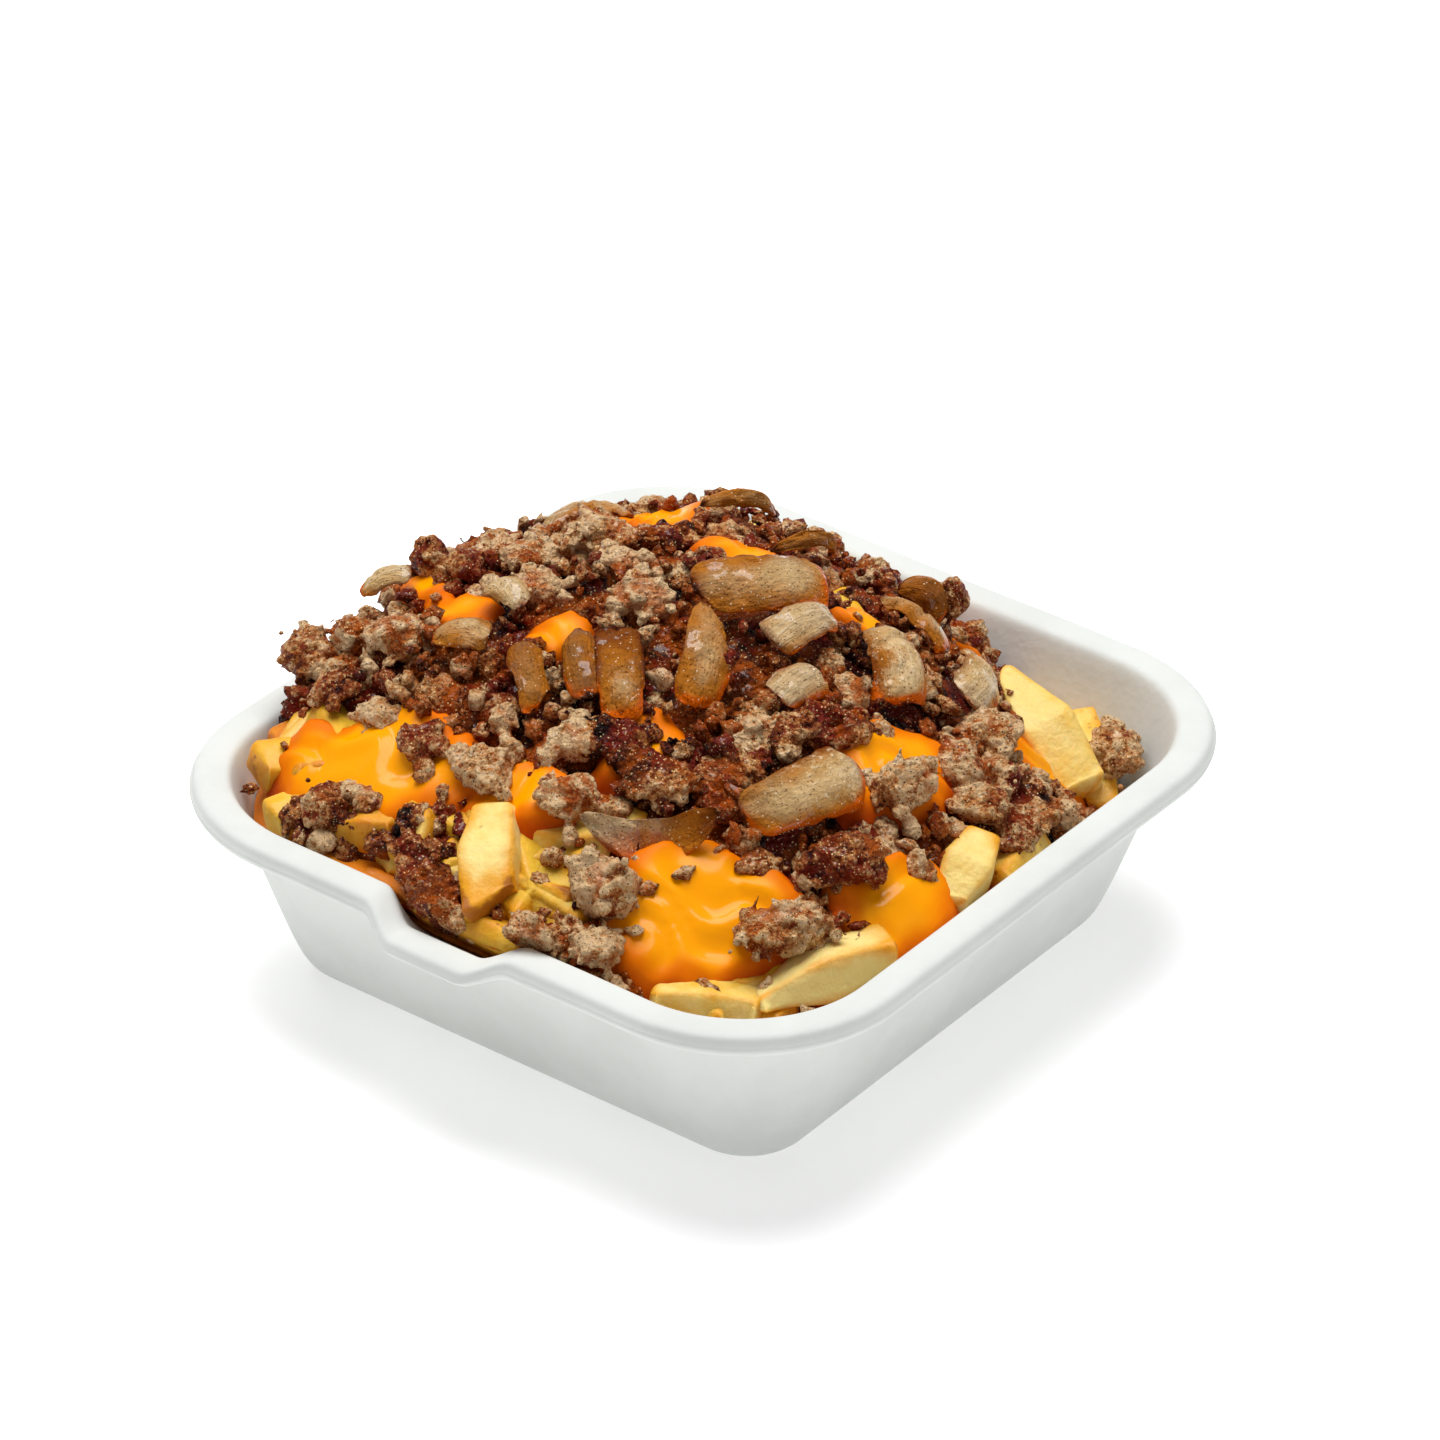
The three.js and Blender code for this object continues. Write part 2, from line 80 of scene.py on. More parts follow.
# height of the food: edge - lowCorner*S*S + leftRise*S + dome*(1 - m^fall) - dent*S*S + rise*exp(-d^2),
# m the oval distance from the peak and d the distance from the rise
def heapTop(x, y):
    x, y = np.asarray(x, float), np.asarray(y, float)
    diagonal = (x + y) / math.sqrt(2)
    low = heap["lowCorner"] * smooth(*heap["lowAcross"], diagonal) * smooth(*heap["lowBack"], y)
    edge = heap["edge"] - low + heap["leftRise"] * smooth(*heap["leftAcross"], -x)
    left, right, front, back = heap["reach"]
    dx, dy = x - heap["peak"][0], y - heap["peak"][1]
    k = heap["roundness"]
    m = np.abs(dx / np.where(dx < 0, left, right)) ** k
    m = (m + np.abs(dy / np.where(dy < 0, front, back)) ** k) ** (1 / k)
    dent = heap["dent"] * smooth(*heap["dentAcross"], x) * smooth(*heap["dentBack"], y)
    riseX, riseY, wide, tall = heap["rise"]
    rise = tall * np.exp(-((x - riseX) ** 2 + (y - riseY) ** 2) / wide ** 2)
    return edge + heap["dome"] * np.clip(1 - m ** heap["fall"], 0, 1) - dent + rise


# share of the notch at a place: a smooth window across the front rim times a smooth step up to the rim
def notchShare(x, z):
    across = 1 - smooth(notch["half"], notch["half"] + notch["fade"], np.abs(x - notch["centre"]))
    return across * smooth(tray["height"] - notch["reach"], tray["height"] - 1, z)


# distance inside the inner wall at height z: a rounded box that narrows downwards, pushed out in the notch
def fromWall(x, y, z=tray["height"]):
    y = y + notch["jut"] * notchShare(x, z) * (y < -50)
    down = np.clip((tray["height"] - z) / tray["height"], 0, 1)
    corner = tray["innerCorner"] * (1 - down) + tray["baseCorner"] * down
    qx = np.abs(x) - (tray["innerHalfX"] - down * tray["draftX"] - corner)
    qy = np.abs(y) - (tray["innerHalfY"] - down * tray["draftY"] - corner)
    return corner - (np.hypot(np.maximum(qx, 0), np.maximum(qy, 0)) + np.minimum(0, np.maximum(qx, qy)))


# how deep points lie below the surface of the heap, 0 from upper and 1 from lower millimetres down
def depthOf(points, upper, lower):
    return smooth(upper, lower, heapTop(points[..., 0], points[..., 1]) - points[..., 2])


# oval distance of a point from each patch, 1 on its edge
def patchDistance(patch, x, y):
    cx, cy, rx, ry, turn = patch
    a = math.radians(turn)
    u = ((x - cx) * math.cos(a) + (y - cy) * math.sin(a)) / rx
    v = (-(x - cx) * math.sin(a) + (y - cy) * math.cos(a)) / ry
    return np.hypot(u, v)


# 1 inside any of the patches, 0 away from them, smooth between the inner and outer oval distance
def most(patches, x, y, inner=0.8, outer=1.15):
    return np.max([1 - smooth(inner, outer, patchDistance(p, x, y)) for p in patches], axis=0)


# value noise in -1..1: hashed lattice values blended with a smooth step
def noise(p, seed=0):
    p = np.asarray(p, float)
    cell = np.floor(p).astype(np.int64)
    f = p - cell
    f = f * f * (3 - 2 * f)
    total = 0.0
    for corner in range(8):
        bits = (corner & 1, corner >> 1 & 1, corner >> 2 & 1)
        h = ((cell[..., 0] + bits[0]) * 73856093) ^ ((cell[..., 1] + bits[1]) * 19349663)
        h = h ^ ((cell[..., 2] + bits[2]) * 83492791) ^ (seed * 2654435761)
        h = ((h ^ (h >> 13)) * 1274126177) & 0x7FFFFFFF
        weight = 1.0
        for axis in range(3):
            weight = weight * (f[..., axis] if bits[axis] else 1 - f[..., axis])
        total = total + weight * ((h >> 7 & 0xFFFF) / 32767.5 - 1)
    return total


# octaves of value noise, each finer by two and weaker by fade
def layered(p, seed=0, octaves=3, fade=0.5):
    return sum(fade ** k * noise(p * 2 ** k, seed + 17 * k) for k in range(octaves))


# meshes from arrays
def addPiece(name, points, faces, material, nodes=(), attributes=None):
    mesh = bpy.data.meshes.new(name)
    points = np.asarray(points, np.float32).reshape(-1, 3) * mm
    faces = np.asarray(faces, np.int32)
    mesh.vertices.add(len(points))
    mesh.vertices.foreach_set("co", points.ravel())
    sides = faces.shape[1]
    mesh.loops.add(faces.size)
    mesh.loops.foreach_set("vertex_index", faces.ravel())
    mesh.polygons.add(len(faces))
    mesh.polygons.foreach_set("loop_start", np.arange(0, faces.size, sides, dtype=np.int32))
    mesh.polygons.foreach_set("use_smooth", np.full(len(faces), True))
    for key, values in (attributes or {}).items():
        layer = mesh.attributes.new(key, "FLOAT", "POINT")
        layer.data.foreach_set("value", np.asarray(values, np.float32).ravel())
    mesh.update(calc_edges=True)
    mesh.validate()
    mesh.materials.append(material)
    piece = bpy.data.objects.new(name, mesh)
    bpy.context.scene.collection.objects.link(piece)
    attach(piece, "root")
    if nodes:
        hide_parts(*nodes)
    print(name, len(faces) * (sides - 2), "triangles")
    return piece


# triangles of a grid of rows x columns that closes round its columns, with a fan at both ends
def tubeFaces(rows, columns):
    r, c = np.meshgrid(np.arange(rows - 1), np.arange(columns), indexing="ij")
    a = r * columns + c
    b = r * columns + (c + 1) % columns
    quads = np.stack([a, b, b + columns, a, b + columns, a + columns], -1).reshape(-1, 3)
    ring = np.arange(columns)
    after, last, start = (ring + 1) % columns, (rows - 1) * columns, rows * columns
    low = np.stack([np.full(columns, start), after, ring], -1)
    high = np.stack([np.full(columns, start + 1), last + ring, last + after], -1)
    return np.concatenate([quads, low, high])


# many closed tubes of one size: points are (pieces, rows, columns, 3); the fans' centres are added
def tubes(points):
    pieces, rows, columns, _ = points.shape
    ends = np.stack([points[:, 0].mean(1), points[:, -1].mean(1)], 1)
    flat = np.concatenate([points.reshape(pieces, -1, 3), ends], 1)
    step = rows * columns + 2
    faces = tubeFaces(rows, columns)[None] + (np.arange(pieces) * step)[:, None, None]
    return flat, faces.reshape(-1, 3)


# values of every tube's points, with their means for the two fans' centres
def withEnds(values, rows, columns):
    values = values.reshape(len(values), rows, columns)
    ends = np.stack([values[:, 0].mean(1), values[:, -1].mean(1)], 1)
    return np.concatenate([values.reshape(len(values), -1), ends], 1)


# a closed slab between two heights over a grid of x, y
def slab(x, y, top, bottom):
    rows, columns = x.shape
    n = rows * columns
    points = np.concatenate([np.stack([x, y, z], -1).reshape(-1, 3) for z in (top, bottom)])
    r, c = np.meshgrid(np.arange(rows - 1), np.arange(columns - 1), indexing="ij")
    a = (r * columns + c).ravel()
    up = np.stack([a, a + columns, a + columns + 1, a, a + columns + 1, a + 1], -1).reshape(-1, 3)
    down = up[:, ::-1] + n
    index = np.arange(n).reshape(rows, columns)
    rim = np.concatenate([index[0, :-1], index[:-1, -1], index[-1, :0:-1], index[:0:-1, 0]])
    after = np.roll(rim, -1)
    walls = np.stack([rim, after, after + n, rim, after + n, rim + n], -1).reshape(-1, 3)
    return points, np.concatenate([up, down, walls])


# shader maths written as Python
class Socket:
    def __init__(self, shader, output):
        self.shader, self.output = shader, output

    def maths(self, operation, a, b):
        return self.shader.make("ShaderNodeMath", {"operation": operation}, {0: a, 1: b})

    def __add__(self, other):
        return self.maths("ADD", self, other)

    def __radd__(self, other):
        return self.maths("ADD", other, self)

    def __sub__(self, other):
        return self.maths("SUBTRACT", self, other)

    def __rsub__(self, other):
        return self.maths("SUBTRACT", other, self)

    def __mul__(self, other):
        return self.maths("MULTIPLY", self, other)

    def __rmul__(self, other):
        return self.maths("MULTIPLY", other, self)

    def clamped(self):
        return self.shader.make("ShaderNodeClamp", {}, {0: self})

    # smooth step from start at low to end at high
    def between(self, low, high, start=0.0, end=1.0):
        ends = {"Value": self, "From Min": low, "From Max": high, "To Min": start, "To Max": end}
        return self.shader.make("ShaderNodeMapRange", {"interpolation_type": "SMOOTHSTEP"}, ends)


class Shader:
    def __init__(self, name):
        self.material = bpy.data.materials.new(name)
        self.material.use_nodes = True
        self.tree = self.material.node_tree
        self.tree.nodes.clear()
        self.place = self.make("ShaderNodeTexCoord", {}, {}, "Object")

    # any node from its type, its settings (set first) and the values or links of its sockets
    def make(self, kind, settings, inputs, output=0):
        node = self.tree.nodes.new(kind)
        for key, value in settings.items():
            if key == "stops":
                ramp = node.color_ramp
                while len(ramp.elements) < len(value):
                    ramp.elements.new(0.5)
                for element, (position, colour) in zip(ramp.elements, value):
                    element.position, element.color = position, (*colour, 1.0)
            else:
                setattr(node, key, value)
        for key, value in inputs.items():
            if isinstance(value, Socket):
                self.tree.links.new(value.output, node.inputs[key])
            elif isinstance(value, tuple) and node.inputs[key].type == "RGBA":
                node.inputs[key].default_value = (*value, 1.0)
            else:
                node.inputs[key].default_value = value
        return Socket(self, node.outputs[output])

    def noise(self, scale, detail=3.0, roughness=0.55, distortion=0.0, place=None):
        inputs = {"Vector": place or self.place, "Scale": scale, "Detail": detail, "Roughness": roughness}
        return self.make("ShaderNodeTexNoise", {}, {**inputs, "Distortion": distortion}, "Fac")

    # distance from the middle of the nearest cell
    def cells(self, scale, output="Distance"):
        return self.make("ShaderNodeTexVoronoi", {}, {"Vector": self.place, "Scale": scale}, output)

    # a number from 0 to 1 for each cell, one for every channel
    def cellNumber(self, scale, channel):
        return self.make("ShaderNodeSeparateColor", {}, {0: self.cells(scale, "Color")}, channel)

    # round dots in the given share of the cells; size is the radius as a share of a cell
    def dots(self, scale, size, share):
        chosen = self.cellNumber(scale, "Blue").between(1 - share, 1.02 - share)
        return self.cells(scale).between(size * 0.55, size, 1.0, 0.0) * chosen

    def attribute(self, name):
        return self.make("ShaderNodeAttribute", {"attribute_name": name}, {}, "Fac")

    def mix(self, share, a, b):
        return self.make("ShaderNodeMix", {"data_type": "RGBA"}, {0: share, 6: a, 7: b}, 2)

    def bump(self, height, strength, distance):
        inputs = {"Height": height, "Strength": strength, "Distance": distance}
        return self.make("ShaderNodeBump", {}, inputs, "Normal")

    def finish(self, inputs):
        surface = self.make("ShaderNodeBsdfPrincipled", {}, inputs, "BSDF")
        output = self.tree.nodes.new("ShaderNodeOutputMaterial")
        self.tree.links.new(surface.output, output.inputs["Surface"])
        return self.material


# camera, floor and light
view = {
    "azimuth": 35.94, "elevation": 32.217, "roll": 1.557, "distance": 1440.4,
    "target": (-40.51, 59.57, 0.0), "lens": 193.08, "sensor": 36.0, "clip": (0.05, 50.0), "floorHalf": 6.0,
}
light = {
    "world": 0.31, "worldColour": (0.98, 0.99, 1.0), "floorColour": (0.93, 0.93, 0.93), "floorGlow": 0.41,
    "aim": (0.0, 0.0, 0.04),
    # azimuth and elevation in degrees, distance and size in metres, power in watts
    "lamps": {
        "overhead": (-130.0, 78.0, 1.5, 1.2, 24.8), "key": (-95.0, 52.0, 1.6, 0.4, 3.0),
        "fill": (95.0, 34.0, 1.5, 1.0, 0.7),
    },
}


# the way towards a viewer at an azimuth and elevation in degrees, and the way to their right
def outward(azimuth, elevation):
    a, e = math.radians(azimuth), math.radians(elevation)
    back = np.array([math.sin(a) * math.cos(e), -math.cos(a) * math.cos(e), math.sin(e)])
    return back, np.array([math.cos(a), math.sin(a), 0.0])


def stand(thing, right, back, place):
    matrix = np.eye(4)
    matrix[:3, 0], matrix[:3, 1], matrix[:3, 2], matrix[:3, 3] = right, np.cross(back, right), back, place
    thing.matrix_world = Matrix(matrix.tolist())
    bpy.context.scene.collection.objects.link(thing)


def makeCamera():
    back, right = outward(view["azimuth"], view["elevation"])
    roll = math.radians(view["roll"])
    turnedRight = math.cos(roll) * right + math.sin(roll) * np.cross(back, right)
    camera = bpy.data.objects.new("camera", bpy.data.cameras.new("camera"))
    stand(camera, turnedRight, back, (np.array(view["target"]) + back * view["distance"]) * mm)
    camera.data.sensor_width, camera.data.lens = view["sensor"], view["lens"]
    camera.data.clip_start, camera.data.clip_end = view["clip"]
    bpy.context.scene.camera = camera


def makeLight():
    scene = bpy.context.scene
    scene.view_settings.view_transform = "Standard"
    world = bpy.data.worlds.new("studio")
    scene.world = world
    world.use_nodes = True
    background = world.node_tree.nodes["Background"]
    background.inputs["Color"].default_value = (*light["worldColour"], 1.0)
    background.inputs["Strength"].default_value = light["world"]
    for name, (azimuth, elevation, distance, size, power) in light["lamps"].items():
        away, side = outward(azimuth, elevation)
        lamp = bpy.data.objects.new(name, bpy.data.lights.new(name, "AREA"))
        stand(lamp, side, away, away * distance + np.array(light["aim"]))
        lamp.data.shape, lamp.data.size, lamp.data.energy = "DISK", size, power


def makeFloor():
    half = view["floorHalf"]
    mesh = bpy.data.meshes.new("floor")
    corners = [(x * half, y * half, 0) for x, y in ((-1, -1), (1, -1), (1, 1), (-1, 1))]
    mesh.from_pydata(corners, [], [(0, 1, 2, 3)])
    shader = Shader("paleFloor")
    grain = shader.noise(30.0, 2.0)
    tint = shader.mix(grain, light["floorColour"], tuple(0.99 * c for c in light["floorColour"]))
    mesh.materials.append(shader.finish({"Base Color": tint, "Roughness": 0.7, "Specular IOR Level": 0.2,
                                         "Emission Color": tint, "Emission Strength": light["floorGlow"]}))
    floor = bpy.data.objects.new("floor", mesh)
    bpy.context.scene.collection.objects.link(floor)


makeCamera()
makeLight()
makeFloor()
print("camera, light and floor are in place")


# tray
trayLook = {
    "colour": (0.70, 0.715, 0.685), "shade": (0.655, 0.67, 0.64), "speck": (0.16, 0.12, 0.09),
    "roughness": 0.72, "fibre": 900.0, "pores": 620.0, "specks": 95.0, "fibreBump": 0.25, "mottle": 60.0,
}


def trayMaterial():
    s = Shader("mouldedFibre")
    mottle = s.noise(trayLook["mottle"], 4.0, 0.6)
    fibres = s.noise(trayLook["fibre"], 4.0, 0.65, 0.6)
    pores = s.cells(trayLook["pores"])
    colour = s.mix(mottle.between(0.35, 0.7), trayLook["colour"], trayLook["shade"])
    rare = s.cellNumber(trayLook["specks"], "Red").between(0.965, 0.97)
    speck = s.cells(trayLook["specks"]).between(0.035, 0.05, 1.0, 0.0) * rare
    colour = s.mix(speck, colour, trayLook["speck"])
    height = fibres * 0.6 + pores * 0.5 + mottle * 0.6
    return s.finish({"Base Color": colour, "Roughness": trayLook["roughness"], "Specular IOR Level": 0.25,
                     "Normal": s.bump(height, trayLook["fibreBump"], 0.0003)})


# every ring of the tray: x = xc*(halfX - corner) + ca*corner + xa, y = yc*(halfY - corner) + sa*corner,
# then the notch by its share w: y -= jut*w, z -= drop*w
def ringSurface(out, z, cornerSteps, sideSteps):
    rows = []

    def stretch(*columns):
        rows.append(np.stack(np.broadcast_arrays(*columns), -1).astype(float))

    even = np.arange(1, sideSteps) / sideSteps
    for k, (sx, sy) in enumerate(((1, 1), (-1, 1), (-1, -1), (1, -1))):
        a = math.pi / 2 * (k + np.arange(cornerSteps + 1) / cornerSteps)
        stretch(sx, sy, np.cos(a), np.sin(a), 0)
        if k == 0:
            stretch(1 - 2 * even, 1, 0, 1, 0)
        elif k == 1:
            stretch(-1, 1 - 2 * even, -1, 0, 0)
        elif k == 3:
            stretch(1, 2 * even - 1, 1, 0, 0)
        else:
            centre, across = notch["centre"], notch["half"] + notch["fade"]
            gentle = np.arange(1, 8) / 8
            stretch(gentle - 1, -1, 0, -1, gentle * (centre - across))
            stretch(0, -1, 0, -1, centre + np.linspace(-1, 1, 45) * across)
            stretch(gentle, -1, 0, -1, (1 - gentle) * (centre + across))
    xc, yc, ca, sa, xa = np.concatenate(rows).T
    out, z = (np.asarray(v, float) if np.ndim(v) > 1 else np.asarray(v, float)[:, None] for v in (out, z))
    down = np.clip((tray["height"] - z) / tray["height"], 0, 1)
    corner = tray["innerCorner"] * (1 - down) + tray["baseCorner"] * down + out
    halfX = tray["innerHalfX"] - down * tray["draftX"] + out
    halfY = tray["innerHalfY"] - down * tray["draftY"] + out
    x = xc * (halfX - corner) + ca * corner + xa
    y = yc * (halfY - corner) + sa * corner
    w = notchShare(x, z) * (y < 0)
    return np.stack([x, y - notch["jut"] * w, z - notch["drop"] * w + 0 * x], -1)


# a smooth line: each corner is replaced by a quadratic arc between the middles of its two sides
def eased(corners, steps=4):
    corners = np.array(corners, float)
    middles = (corners[1:] + corners[:-1]) / 2
    t = (np.arange(steps) / steps)[:, None]
    line = [corners[:1]]
    for a, b, c in zip(middles[:-1], corners[1:-1], middles[1:]):
        line.append((1 - t) ** 2 * a + 2 * t * (1 - t) * b + t * t * c)
    return np.concatenate(line + [corners[-1:]])


# the tray: rings round an eased profile of distances from the inner wall and heights, then each axis moved
# by waviness * two octaves of noise above the foot
def makeTray():
    top, wall = tray["height"], tray["wall"]
    inside = [(-40, wall), (-9, wall), (-3.6, 1.6), (-1.2, 4.2), (-0.1, 8), (0, 14), (0, 22), (0, 29),
              (0, 34), (0, top - 1.9), (0.35, top - 0.25), (1.9, top), (4.4, top)]
    outside = [(6.4, top - 0.3), (7.3, top - 1.7), (8, top - 2.2), (8.1, top - 3.5), (7.6, top - 3.9),
               (5.6, top - 3.6), (4.4, top - 1.6), (2.2, top - 1.5), (wall, top - 2.4), (wall, top - 7),
               (wall, top - 12), (wall, 18), (wall, 7), (0.6, 1.4), (-2.4, 0), (-9, 0), (-40, 0)]
    line = eased(inside + outside)
    points = ringSurface(line[:, 0], line[:, 1], tray["cornerSteps"], tray["sideSteps"])
    wave = layered(points / 26.0, 3, 2)
    lift = smooth(4, 30, points[..., 2])
    points[..., 2] += tray["waviness"] * wave * lift
    points[..., 1] += tray["waviness"] * layered(points / 21.0, 8, 2) * lift
    points[..., 0] += tray["waviness"] * layered(points / 23.0, 5, 2) * lift
    flat, faces = tubes(points[None])
    addPiece("fibreTray", flat, faces[:, ::-1], trayMaterial(), ["tray"])


makeTray()
print("tray is made")


# fries
# from, to, thickness, the share of the width kept at either end
fryEnds = [
    ((-7.4, -49.6, 49.2), (3.6, -66, 40.6), 10.6, 0.6, 0.75),
    ((-57, -56, 40.5), (-49, -47, 40), 8.8, 0.9, 0.9),
    ((-49.5, -59.5, 37.8), (-40.5, -63.6, 38), 8, 0.6, 0.6),
    ((-45, -64, 33), (-20, -64.5, 34), 8.6, 0.8, 0.9),
    ((-13, -66.2, 36), (13, -66.4, 35.6), 8.8, 0.8, 0.8),
    ((33, -59.8, 33), (50, -50, 30.8), 8.6, 0.5, 0.9),
    ((49.2, -52, 33.6), (59.4, -26, 35.8), 9.4, 0.22, 0.8),
    ((58.8, -10.5, 35.2), (55, 6, 41), 9.4, 0.5, 0.5), ((59, 4, 32), (56.5, 20, 34), 9, 0.9, 0.6),
    ((28, 50.3, 42.6), (51, 44.5, 28), 11.5, 0.1, 0.7), ((37, 61, 31), (54, 47, 24), 9.4, 0.7, 0.4),
    ((20, 60, 30), (46, 57, 22), 9, 0.9, 0.9), ((3, 31, 56), (17, 24, 53), 8, 0.9, 0.7),
    ((-42, 31, 51), (-22, 44, 49.5), 9.4, 0.9, 0.9), ((-59, 16, 37), (-53, 45, 39), 9.4, 0.9, 0.9),
    ((-60, 40, 33), (-44, 56, 36), 9.8, 0.9, 0.9), ((-38, 62, 35), (-8, 62, 38), 9.4, 0.9, 0.9),
    ((-34, -61, 40), (-22, -57, 43), 8, 0.7, 0.6), ((-60.5, -30, 36), (-58, -14, 38), 9.6, 0.9, 0.9),
    ((-49, -55, 41.5), (-41, -49, 41), 8, 0.8, 0.9), ((-25, -66.5, 33.6), (11, -69, 33.4), 8.8, 0.9, 0.9),
    ((-60, -47, 38), (-50, -38, 42), 8.4, 0.8, 0.9),
]
# how much glaze and how deep a yellow some of them have
fryTints = {
    0: (-0.4, -0.1), 1: (0.25, 1.2), 2: (0.0, 0.6), 3: (0.8, 1.2), 4: (0.4, 1.0), 5: (0.1, 0.3),
    6: (-0.8, -0.5), 7: (-0.4, 0.0), 8: (-0.1, 0.4), 9: (-0.3, 0.1), 10: (0.0, 0.3), 17: (0.55, 1.0),
    19: (0.6, 1.0), 20: (0.9, 1.2), 21: (0.6, 1.0),
}
fryLook = {
    "rows": 32, "columns": 24, "squareness": 8.5, "capRows": 6, "capLength": 1.5, "cornerPull": 0.17,
    "buried": 52, "buriedLength": (20, 44), "buriedWidth": (7.6, 10), "uprightCut": (0.1, -1.0),
    "pale": (0.84, 0.48, 0.03), "cut": (0.93, 0.72, 0.26),
    # the last colour on the next line is cheese glaze, mixed in with depth below the heap's surface, so it
    # also paints shade on the lower fries
    "golden": (0.82, 0.35, 0.008), "brown": (0.32, 0.080, 0.004), "glazeAndShade": (0.68, 0.16, 0.001),
}


def fryMaterial():
    s = Shader("friedPotato")
    crisp, tint, deep = s.attribute("crisp"), s.attribute("tint"), s.attribute("deep")
    patches = s.noise(150.0, 4.0, 0.6)
    blister = s.noise(620.0, 5.0, 0.65)
    colour = s.mix((patches * 1.1 + tint * 0.5 - 0.2).between(0.15, 0.8), fryLook["cut"], fryLook["pale"])
    colour = s.mix((crisp + patches * 0.9 - 0.52).between(0.1, 0.85), colour, fryLook["golden"])
    burnt = (crisp * 0.9 + s.noise(420.0, 4.0) * 0.8 - 0.4).between(0.82, 1.15)
    colour = s.mix(burnt * 0.8, colour, fryLook["brown"])
    # cheese glaze, stronger deeper below the heap's surface: real glaze and painted shade on the lower fries
    colour = s.mix((deep + patches * 0.8 - 0.4).between(0.1, 0.9) * 0.9, colour, fryLook["glazeAndShade"])
    freckles = s.dots(420.0, 0.22, 0.3) * s.noise(80.0).between(0.45, 0.6)
    colour = s.mix(freckles * 0.7, colour, fryLook["brown"])
    height = blister * 0.8 + patches * 0.9
    return s.finish({"Base Color": colour, "Roughness": (blister * 0.35 + 0.26), "Specular IOR Level": 0.25,
                     "Subsurface Weight": 0.2, "Subsurface Radius": (0.005, 0.002, 0.0006),
                     "Subsurface Scale": 0.6, "Coat Weight": patches.between(0.45, 0.6) * 0.2,
                     "Coat Roughness": 0.15, "Normal": s.bump(height, 0.6, 0.0009)})


# points moved in from the tray's wall until they are gap inside it
def keptInside(points, gap=0.6, rounds=3, share=1.1, farthest=12):
    for _ in range(rounds):
        x, y, z = points[..., 0], points[..., 1], points[..., 2]
        below = smooth(tray["height"] + 3, tray["height"], z)
        pull = np.clip(gap - fromWall(x, y, z), 0, farthest) * below * share
        far = np.maximum(np.hypot(x, y), 1)
        points = np.stack([x - pull * x / far, y - pull * y / far, z], -1)
    return points


